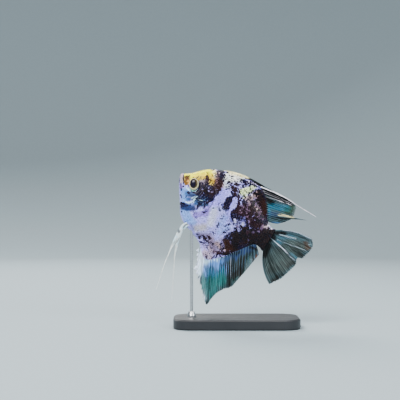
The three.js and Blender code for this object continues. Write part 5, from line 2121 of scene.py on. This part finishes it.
class NodeSheet:
    """A node tree being laid out, with the few steps that the finishes are made of."""

    def __init__(self, tree: bpy.types.NodeTree) -> None:
        """Keeps the tree."""
        self.tree = tree

    def add(self, kind: str, inputs: dict[str | int, Value] | None = None, **settings: object) -> Node:
        """Adds a node.

        Args:
            kind: the node's type.
            inputs: values, or sockets to wire, by input name or number.
            **settings: the node's own settings.

        Returns:
            The node.
        """
        node = self.tree.nodes.new(kind)
        for name, setting in settings.items():
            setattr(node, name, setting)
        for name, value in (inputs or {}).items():
            self.feed(node.inputs[name], value)
        return node

    def feed(self, socket: Socket, value: Value) -> None:
        """Wires a socket to an input, or sets the input's value."""
        if isinstance(value, Socket):
            self.tree.links.new(value, socket)
        else:
            socket.default_value = value

    def math(self, operation: str, first: Value, second: Value = 0.0) -> Socket:
        """Returns the result of one sum on two numbers."""
        return self.add("ShaderNodeMath", {0: first, 1: second}, operation=operation).outputs[0]

    def times(self, first: Value, second: Value) -> Socket:
        """Returns two numbers multiplied."""
        return self.math("MULTIPLY", first, second)

    def mix(self, share: Value, first: Value, second: Value, way: str = "MIX") -> Socket:
        """Returns two colours mixed, or worked on each other as way says."""
        node = self.add("ShaderNodeMix", {0: share, 6: first, 7: second}, data_type="RGBA", blend_type=way)
        return node.outputs[2]

    def ease(self, value: Value, low: float, high: float, start: float = 0.0, end: float = 1.0) -> Socket:
        """Returns start below low, end above high, and an S between."""
        inputs = {0: value, 1: low, 2: high, 3: start, 4: end}
        return self.add("ShaderNodeMapRange", inputs, interpolation_type="SMOOTHSTEP").outputs[0]

    def noise(self, place: Socket, scale: float, detail: float = 2.0, rough: float = 0.5) -> Socket:
        """Returns a cloudy number of about 0.5."""
        inputs = {"Vector": place, "Scale": scale, "Detail": detail, "Roughness": rough}
        return self.add("ShaderNodeTexNoise", inputs).outputs[0]

    def centred(self, place: Socket, scale: float, gain: float, detail: float = 2.0) -> Socket:
        """Returns a cloudy number about 0, times a gain."""
        return self.times(self.math("SUBTRACT", self.noise(place, scale, detail), 0.5), gain)

    def read(self, name: str, colour: bool = False) -> Socket:
        """Returns a painted number or colour of the surface."""
        node = self.add("ShaderNodeAttribute", attribute_name=name, attribute_type="GEOMETRY")
        return node.outputs["Color" if colour else "Fac"]

    def grey(self, value: Socket) -> Socket:
        """Returns a number as a grey, which a colour can be multiplied by."""
        return self.add("ShaderNodeCombineColor", {0: value, 1: value, 2: value}).outputs[0]

    def place(self) -> Socket:
        """Returns the place on the piece, in metres."""
        return self.add("ShaderNodeTexCoord").outputs["Object"]

    def unwrapped(self, name: str) -> tuple[Socket, Socket]:
        """Returns u and v of one of the piece's UV maps."""
        split = self.add("ShaderNodeSeparateXYZ", {0: self.add("ShaderNodeUVMap", uv_map=name).outputs[0]})
        return split.outputs[0], split.outputs[1]

    def bump(
        self, height: Socket, depth: float, strength: float = 1.0, under: Socket | None = None
    ) -> Socket:
        """Raises the surface where a height does.

        Args:
            height: the height.
            depth: how far a height of 1 stands up, in metres.
            strength: how much of it shows.
            under: a normal that it lies on.

        Returns:
            The normal.
        """
        inputs = {"Height": height, "Strength": strength, "Distance": depth}
        if under is not None:
            inputs["Normal"] = under
        return self.add("ShaderNodeBump", inputs).outputs[0]


@dataclass(frozen=True)
class Effect:
    """A node group with one number going in, made once and placed in several finishes."""

    name: str
    number: str
    lay: Callable[[NodeSheet, Socket], dict[str, Socket]]  # lays it out, and gives its outputs by name

    def group(self) -> bpy.types.NodeTree:
        """Returns the group, which is made when it is first asked for."""
        if self.name in bpy.data.node_groups:
            return bpy.data.node_groups[self.name]
        tree = bpy.data.node_groups.new(self.name, "ShaderNodeTree")
        tree.interface.new_socket(self.number, in_out="INPUT", socket_type="NodeSocketFloat")
        sheet = NodeSheet(tree)
        results = self.lay(sheet, sheet.add("NodeGroupInput").outputs[0])
        for label, socket in results.items():
            kind = "NodeSocketColor" if socket.type == "RGBA" else "NodeSocketFloat"
            tree.interface.new_socket(label, in_out="OUTPUT", socket_type=kind)
        sheet.add("NodeGroupOutput", results)
        return tree

    def place(self, sheet: NodeSheet, number: float) -> Node:
        """Places the group in a finish, with its number."""
        return sheet.add("ShaderNodeGroup", {self.number: number}, node_tree=self.group())


# Painted sheen: clouds of blue and of pink cast multiplied into the ground, standing in for the scales'
# pearly sheen.
PAINTED_SHEENS = (  # size, where it starts, strength, and cast
    (420, 0.5, 0.4, (0.66, 0.78, 1.2, 1)),
    (510, 0.54, 0.45, (1.12, 0.86, 1.0, 1)),
)
WARM_INK = (0.034, 0.014, 0.008, 1)


def lay_marbling(sheet: NodeSheet, plate_share: Socket) -> dict[str, Socket]:
    """Breaks the smooth painted fields into ragged blots, with a painted pearly sheen of blue and pink casts
    and a painted highlight that lightens or darkens each scale as a whole.

    Args:
        sheet: the group's sheet.
        plate_share: how much each scale differs from its neighbours, in its ink and in a painted highlight
            that lightens or darkens it as a whole.

    Returns:
        The colour, and how much of it is ink.
    """
    place = sheet.place()
    ragged = sheet.math("ADD", sheet.centred(place, 950, 1.9), sheet.centred(place, 1900, 1.2))
    own = sheet.times(sheet.math("SUBTRACT", sheet.read("plate"), 0.5), plate_share)
    depth = sheet.math("ADD", sheet.math("ADD", sheet.read("ink_depth"), ragged), own)
    ink = sheet.ease(depth, 0.45, 0.57)
    colour = sheet.read("ground", colour=True)
    # painted sheen: blue and pink casts laid over the ground in clouds
    for scale, low, share, cast in PAINTED_SHEENS:
        painted_sheen = sheet.ease(sheet.noise(place, scale), low, low + 0.22, 0.0, share)
        colour = sheet.mix(painted_sheen, colour, cast, "MULTIPLY")
    # the ground's own cloudy mottling, plus a painted highlight that lightens or darkens each scale as a
    # whole
    cloudy = sheet.math("ADD", 1.0, sheet.centred(place, 900, 1.3, 3))
    mottle_and_highlight = sheet.math("ADD", cloudy, sheet.times(own, 0.9))
    shaded = sheet.mix(1.0, colour, sheet.grey(mottle_and_highlight), "MULTIPLY")
    deep = sheet.ease(sheet.noise(place, 900), 0.4, 0.75, 0.0, 0.6)
    tone = sheet.mix(deep, sheet.read("tone", colour=True), WARM_INK)
    return {"Colour": sheet.mix(ink, shaded, tone), "Ink": ink}


def lay_fine_grain(sheet: NodeSheet, scale: Socket) -> dict[str, Socket]:
    """Lays out a cloudy height of the size given."""
    return {"Height": sheet.noise(sheet.place(), scale, 3.0, 0.6)}


# The marbling group also lays the painted sheen and each scale's painted highlight.
MARBLING_AND_SHEEN = Effect("marbling", "Plate Share", lay_marbling)
FINE_GRAIN = Effect("fine_grain", "Scale", lay_fine_grain)


@dataclass(frozen=True)
class Finish:
    """What every finish has: a name, the shader's own fixed values, and what it lays out over them."""

    name: str
    roughness: float = 0.4
    coat: float = 0.0
    coat_roughness: float = 0.1
    specular: float = 0.5

    def lay(self, sheet: NodeSheet) -> dict[str, Value]:
        """Lays out the finish, and returns what goes to the shader's inputs by name."""
        raise NotImplementedError

    def build(self) -> Material:
        """Makes the material.

        Returns:
            It, with its shader wired.
        """
        material = bpy.data.materials.new(self.name)
        material.use_nodes = True
        sheet = NodeSheet(material.node_tree)
        fixed = {
            "Roughness": self.roughness, "Coat Weight": self.coat, "Coat Roughness": self.coat_roughness,
            "Specular IOR Level": self.specular,
        }
        for name, value in (fixed | self.lay(sheet)).items():
            sheet.feed(material.node_tree.nodes["Principled BSDF"].inputs[name], value)
        return material


@dataclass(frozen=True)
class MarbledSkin(Finish):
    """Wet marbled skin, smooth over the head."""

    silver: float = 0.3  # how metallic the pale ground is
    # plate_share also sets how strongly each scale's painted highlight lightens or darkens it.
    plate_share: float = 0.0  # how much each scale differs from its neighbours

    def marbled(self, sheet: NodeSheet) -> dict[str, Value]:
        """Lays out what skin and scales share: marbling with its painted sheen, silver and roughness.

        Args:
            sheet: the material's sheet.

        Returns:
            What goes to the shader's inputs.
        """
        marble = MARBLING_AND_SHEEN.place(sheet, self.plate_share)
        pale = sheet.math("SUBTRACT", 1.0, marble.outputs["Ink"])
        glint = sheet.ease(sheet.noise(sheet.place(), 1300), 0.42, 0.7)
        return {
            "Base Color": marble.outputs["Colour"],
            "Metallic": sheet.times(sheet.times(pale, glint), self.silver),
            "Roughness": sheet.math("ADD", self.roughness, sheet.centred(sheet.place(), 800, 0.25)),
        }

    def lay(self, sheet: NodeSheet) -> dict[str, Value]:
        """Adds folds, and pores on them, to the marbling."""
        folds = sheet.bump(FINE_GRAIN.place(sheet, 1100.0).outputs[0], 0.00016, 0.5)
        pores = sheet.bump(FINE_GRAIN.place(sheet, 5200.0).outputs[0], 0.00004, 0.5, folds)
        return self.marbled(sheet) | {"Normal": pores}


@dataclass(frozen=True)
class MarbledScales(MarbledSkin):
    """The same marbling on thin scales, each with a little ink and a painted highlight of its own, a painted
    shade over the root that the scale before it covers, growth rings and a clear rim.
    """

    rings: float = 46.0
    rim: Colour = (0.05, 0.045, 0.07, 1)
    # root: the painted shade over each scale's root, where the scale before it lies over it
    root: Colour = (0.08, 0.07, 0.1, 1)

    def lay(self, sheet: NodeSheet) -> dict[str, Value]:
        """Adds to the marbling each scale's painted shade over its covered root, its rim and its rings.

        Args:
            sheet: the material's sheet.

        Returns:
            What goes to the shader's inputs.
        """
        inputs = self.marbled(sheet)
        along, across = sheet.unwrapped("Plate")
        rimmed = sheet.mix(sheet.ease(along, 0.8, 1.0, 0.0, 0.28), inputs["Base Color"], self.rim)
        # painted shade: darkens the root half of each scale, which the scale before it covers
        root_shaded = sheet.mix(sheet.ease(along, 0.35, 0.62, 0.55, 0.0), rimmed, self.root)
        ringed = sheet.math("SINE", sheet.times(along, self.rings * 2))
        grooved = sheet.math("SINE", sheet.times(across, self.rings))
        height = sheet.math("ADD", sheet.times(ringed, 0.35), sheet.times(grooved, 0.3))
        return inputs | {"Base Color": root_shaded, "Normal": sheet.bump(height, 0.00002, 0.6)}


@dataclass(frozen=True)
class FinWeb(Finish):
    """A thin clear web, stained between its rays, paler along them, and light and dark from ray to ray."""

    streak: float = 0.85  # how strongly its paler lines show
    banded: float = 0.0  # how much it is lighter and darker from ray to ray
    gap: Colour = (0.02, 0.025, 0.03, 1)

    def lay(self, sheet: NodeSheet) -> dict[str, Value]:
        """Lays out the web's stains, streaks and specks.

        Args:
            sheet: the material's sheet.

        Returns:
            What goes to the shader's inputs.
        """
        across, along = sheet.unwrapped("Fin")
        lane = sheet.add(
            "ShaderNodeCombineXYZ", {0: sheet.times(across, 3.0), 1: sheet.times(along, 0.4)}
        ).outputs[0]
        streaks = sheet.noise(lane, 0.9, 3)
        pleat = sheet.math("COSINE", sheet.times(across, 2 * math.pi))
        line = sheet.times(sheet.ease(pleat, 0.0, 0.9), sheet.ease(streaks, 0.3, 0.62, 0.3, self.streak))
        lined = sheet.mix(line, sheet.read("stain", colour=True), sheet.read("bone", colour=True))
        dark = sheet.mix(sheet.ease(streaks, 0.45, 0.25, 0.0, 0.5), lined, self.gap)
        broad = sheet.grey(sheet.ease(sheet.noise(lane, 0.22, 1), 0.3, 0.7, 0.45, 1.65))
        specks = sheet.ease(sheet.noise(sheet.place(), 1500), 0.3, 0.7, 0.97, 1.1)
        height = sheet.math("ADD", sheet.times(pleat, 0.4), streaks)
        return {
            "Base Color": sheet.mix(self.banded, dark, broad, "MULTIPLY"),
            "Alpha": sheet.times(sheet.read("cover"), specks),
            "Normal": sheet.bump(height, 0.00012, 0.5),
        }


@dataclass(frozen=True)
class FinRay(Finish):
    """Pale jointed rays."""

    joint: float = 0.85  # from joint to joint, in mm
    worn: float = 0.35  # how strongly the mottling and the joints show
    alpha: float = 1.0
    mottling: Colour = (0.45, 0.45, 0.48, 1)
    jointing: Colour = (0.25, 0.25, 0.27, 1)

    def lay(self, sheet: NodeSheet) -> dict[str, Value]:
        """Lays out the ray's colour, mottled and darker at its joints.

        Args:
            sheet: the material's sheet.

        Returns:
            What goes to the shader's inputs.
        """
        _, along = sheet.unwrapped("Fin")
        joints = sheet.math("SINE", sheet.times(along, 2 * math.pi / self.joint))
        mottle = sheet.ease(sheet.noise(sheet.place(), 700, 3), 0.35, 0.7, 0.0, self.worn)
        aged = sheet.mix(mottle, sheet.read("stain", colour=True), self.mottling, "MULTIPLY")
        dark = sheet.ease(joints, 0.72, 1.0, 0.0, self.worn)
        return {
            "Base Color": sheet.mix(dark, aged, self.jointing, "MULTIPLY"),
            "Alpha": self.alpha,
            "Normal": sheet.bump(joints, 0.00003, 0.5),
        }


@dataclass(frozen=True)
class EyeGloss(Finish):
    """The eye's own colours under a clear wet dome, with a painted shade round the ball's edge where it meets
    its socket.
    """

    white: tuple[Colour, Colour] = ((0.42, 0.36, 0.2, 1), (0.72, 0.42, 0.2, 1))  # behind, and in front
    iris: tuple[Colour, Colour] = ((0.05, 0.035, 0.012, 1), (0.6, 0.33, 0.14, 1))
    gold: tuple[Colour, Colour] = ((0.5, 0.44, 0.24, 1), (0.86, 0.8, 0.52, 1))
    pupil: tuple[Colour, Colour] = ((0.006, 0.004, 0.014, 1), (0.01, 0.007, 0.005, 1))  # middle, and edge
    # rim: a painted shade, near black, round the ball's edge where it sinks into its socket
    rim: Colour = (0.03, 0.02, 0.02, 1)

    def oval(self, sheet: NodeSheet, level: float, upright: float, wide: float, tall: float) -> Socket:
        """Measures from an oval's middle.

        Args:
            sheet: the material's sheet.
            level, upright: the oval's middle.
            wide, tall: its reach.

        Returns:
            The distance, 1 on the oval itself.
        """
        across = sheet.math("DIVIDE", sheet.math("SUBTRACT", sheet.read("level"), level), wide)
        up = sheet.math("DIVIDE", sheet.math("SUBTRACT", sheet.read("upright"), upright), tall)
        squares = sheet.math("ADD", sheet.times(across, across), sheet.times(up, up))
        return sheet.math("SQRT", squares)

    def lay(self, sheet: NodeSheet) -> dict[str, Value]:
        """Lays out the white, the gold ring, the iris and the pupil, one over another, then a painted shade
        round the ball's edge.

        Args:
            sheet: the material's sheet.

        Returns:
            What goes to the shader's inputs.
        """
        pupil = self.oval(sheet, -0.1, 0.08, 0.6, 0.72)
        ragged = sheet.centred(sheet.place(), 1400, 0.16)
        ring = sheet.math("ADD", self.oval(sheet, 0.05, 0.1, 0.9, 0.9), ragged)
        front = sheet.ease(sheet.read("level"), -0.2, -0.75)
        white = sheet.mix(front, *self.white)
        threads = sheet.noise(sheet.place(), 2600, 3)
        gold = sheet.mix(sheet.ease(threads, 0.4, 0.62), *self.gold)
        iris = sheet.mix(front, *self.iris)
        colour = sheet.mix(sheet.ease(ring, 0.98, 1.08), gold, white)
        colour = sheet.mix(sheet.ease(ring, 0.94, 0.84), colour, iris)
        black = sheet.mix(sheet.ease(pupil, 0.7, 1.0), *self.pupil)
        colour = sheet.mix(sheet.ease(pupil, 1.07, 1.0), colour, black)
        # painted shade: the ball turns near black round its edge, where it meets the socket
        colour = sheet.mix(sheet.ease(sheet.read("reach"), 0.93, 1.02), colour, self.rim)
        return {"Base Color": colour, "Normal": sheet.bump(threads, 0.00002, 0.25)}


@dataclass(frozen=True)
class PowderCoat(Finish):
    """Satin black powder coat with a fine orange-peel skin."""

    tints: tuple[Colour, Colour] = ((0.016, 0.017, 0.02, 1), (0.03, 0.032, 0.037, 1))

    def lay(self, sheet: NodeSheet) -> dict[str, Value]:
        """Lays out the coat's tint, unevenness and peel."""
        place = sheet.place()
        return {
            "Base Color": sheet.mix(sheet.noise(place, 40, 4), *self.tints),
            "Roughness": sheet.math("ADD", self.roughness, sheet.centred(place, 90, 0.2)),
            "Normal": sheet.bump(sheet.noise(place, 1500), 0.00008, 0.6),
        }


@dataclass(frozen=True)
class BrushedSteel(Finish):
    """Steel brushed round its axis."""

    tints: tuple[Colour, Colour] = ((0.42, 0.43, 0.45, 1), (0.66, 0.67, 0.69, 1))
    stretch: tuple[float, float, float] = (60.0, 60.0, 5200.0)

    def lay(self, sheet: NodeSheet) -> dict[str, Value]:
        """Lays out the brushed lines."""
        stretched = sheet.add("ShaderNodeMapping", {"Vector": sheet.place(), "Scale": self.stretch})
        lines = sheet.noise(stretched.outputs[0], 1.0, 3)
        return {
            "Base Color": sheet.mix(lines, *self.tints),
            "Metallic": 1.0,
            "Roughness": sheet.ease(lines, 0.3, 0.7, 0.22, 0.42),
            "Normal": sheet.bump(lines, 0.00001, 0.5),
        }


@dataclass(frozen=True)
class StudioPaper(Finish):
    """Plain pale backdrop paper."""

    tints: tuple[Colour, Colour] = ((0.25, 0.31, 0.34, 1), (0.28, 0.34, 0.37, 1))

    def lay(self, sheet: NodeSheet) -> dict[str, Value]:
        """Lays out the paper's fibres."""
        fibres = sheet.noise(sheet.place(), 300, 4)
        return {"Base Color": sheet.mix(fibres, *self.tints), "Normal": sheet.bump(fibres, 0.00005, 0.2)}


# ---------------------------------------------------------------- stand and studio


class Stand:
    """The solids of the display stand, which keep their shape and get their finishes."""

    FINISHES = {
        "stand_base": PowderCoat("satin_black_powder_coat", roughness=0.42, specular=0.3),
        "stand_rod": BrushedSteel("brushed_steel", roughness=0.3),
        "stand_collar": BrushedSteel("turned_steel", roughness=0.26),
    }

    def dress(self, nodes: dict[str, Piece]) -> None:
        """Gives each solid its finish."""
        for name, finish in self.FINISHES.items():
            piece = nodes[name]
            piece.data.materials.clear()
            piece.data.materials.append(finish.build())
            log.info("%s dressed", name)


@dataclass
class Lamp:
    """A square soft box that shines at a point of the fish."""

    name: str
    place: tuple[float, float, float]
    size: float
    power: float
    colour: tuple[float, float, float] = (1.0, 1.0, 1.0)
    aim: tuple[float, float, float] = (-0.02, 0.0, 0.1)

    def build(self) -> None:
        """Adds the lamp."""
        data = bpy.data.lights.new(self.name, "AREA")
        data.size = self.size
        data.energy = self.power
        data.color = self.colour
        lamp = bpy.data.objects.new(self.name, data)
        lamp.location = self.place
        bpy.context.scene.collection.objects.link(lamp)
        towards = Vector(self.aim) - Vector(self.place)
        lamp.rotation_euler = towards.to_track_quat("-Z", "Y").to_euler()


@dataclass
class Studio:
    """A round pale paper dish, soft lamps and the camera, level and square to the fish's left side."""

    field_width: float = 0.312  # what the camera sees at the fish's middle plane
    lens: float = 100.0
    sensor: float = 36.0
    centre: tuple[float, float] = (-0.0284, 0.09906)
    dish_radius: float = 1.5
    dish_height: float = 1.3
    dish_bend: float = 0.45
    world: float = 0.2  # how strongly the room shines from all round
    lamps: tuple[Lamp, ...] = (
        Lamp("key_softbox", (-0.45, -0.8, 0.95), 0.6, 29.0, (1.0, 0.985, 0.96)),
        Lamp("fill_softbox", (0.75, -0.8, 0.6), 0.5, 9.6, (0.96, 0.98, 1.0)),
        Lamp("top_softbox", (0.1, 0.15, 0.9), 0.6, 9.0),
        Lamp("back_softbox", (-0.35, 0.85, 0.8), 0.6, 20.0, (1.0, 0.985, 0.96)),
    )

    def build(self) -> None:
        """Builds the dish, the lamps and the camera."""
        Bench.clear()
        bpy.ops.mesh.primitive_cylinder_add(
            vertices=128, radius=self.dish_radius, depth=self.dish_height, location=(0, 0, 0)
        )
        floor = Bench.take("paper_dish")
        Bench.move(floor, Bench.places(floor) + np.array([0, 0, self.dish_height / 2]))
        Bench.pick(floor, "FACE", lambda face: face.normal.z > 0.5)
        bpy.ops.mesh.delete(type="FACE")
        bpy.ops.object.mode_set(mode="OBJECT")
        heights = Bench.places(floor)[:, 2]
        Bench.pick(floor, "EDGE", lambda edge: heights[list(edge.vertices)].max() < 1e-4)
        bpy.ops.mesh.bevel(offset=self.dish_bend, segments=24, affect="EDGES")
        bpy.ops.mesh.select_all(action="SELECT")
        bpy.ops.mesh.flip_normals()
        bpy.ops.object.mode_set(mode="OBJECT")
        floor.data.shade_smooth()
        floor.data.materials.append(StudioPaper("pale_paper", roughness=0.9, specular=0.2).build())
        for lamp in self.lamps:
            lamp.build()
        world = bpy.data.worlds.new("soft_room")
        world.use_nodes = True
        light = world.node_tree.nodes["Background"].inputs
        light["Color"].default_value = (1.0, 1.0, 1.0, 1)
        light["Strength"].default_value = self.world
        bpy.context.scene.world = world
        data = bpy.data.cameras.new("camera")
        data.lens = self.lens
        data.sensor_width = self.sensor
        camera = bpy.data.objects.new("camera", data)
        distance = self.field_width * self.lens / self.sensor
        camera.location = (self.centre[0], -distance, self.centre[1])
        camera.rotation_euler = (math.pi / 2, 0, 0)
        bpy.context.scene.collection.objects.link(camera)
        bpy.context.scene.camera = camera
        log.info("studio: camera %.3f m from the fish", distance)


# ---------------------------------------------------------------- the fish


class Angelfish:
    """Puts the fish together: skin, coat, fins, threads and eyes."""

    skin = MarbledSkin("wet_marbled_skin", roughness=0.3, coat=0.06, specular=0.1, silver=0.12)
    scales = MarbledScales(
        "marbled_scales", roughness=0.28, coat=0.06, specular=0.1, silver=0.15, plate_share=0.34
    )
    web = FinWeb("fin_web", roughness=0.4, specular=0.1, banded=1.0)
    rays = FinRay("fin_rays", roughness=0.4, specular=0.15)
    clear_web = FinWeb("clear_web", roughness=0.3, coat=0.2, streak=0.2)
    clear_rays = FinRay("clear_rays", roughness=0.4, alpha=0.08)
    thread = FinRay("fin_threads", roughness=0.4, specular=0.3, worn=0.1)
    thread_web = FinWeb("thread_web", roughness=0.4, specular=0.3)
    eye = EyeGloss("eye_gloss", roughness=0.25, coat=0.2, coat_roughness=0.03, specular=0.1)

    def build(self) -> None:
        """Makes every piece of the fish."""
        net = BodyNet()
        Skin(net).build(self.skin.build())
        scales, web, rays = self.scales.build(), self.web.build(), self.rays.build()
        for side in Side:
            coat = ScaleCoat(net, side)
            for row in SCALE_ROWS:
                coat.build(row, scales)
        for plan in FIN_PLANS:
            fin = MiddleFin(plan)
            fin.build_web(web)
            fin.build_rays(rays)
        thread_web, thread = self.thread_web.build(), self.thread.build()
        for plan in THREADS:
            Thread(plan).build(thread_web, thread)
        clear_web, clear_rays, eye = self.clear_web.build(), self.clear_rays.build(), self.eye.build()
        for side in Side:
            BreastFin(side, net.form).build(clear_web, clear_rays)
            Eye(side, net.form).build(eye)


def main() -> None:
    """Builds the fish and the studio, and dresses the stand."""
    logging.basicConfig(level=logging.INFO, format="%(message)s")
    Studio().build()
    Angelfish().build()
    Stand().dress(frame["nodes"])
    bpy.context.view_layer.update()


if __name__ == "__main__":
    main()
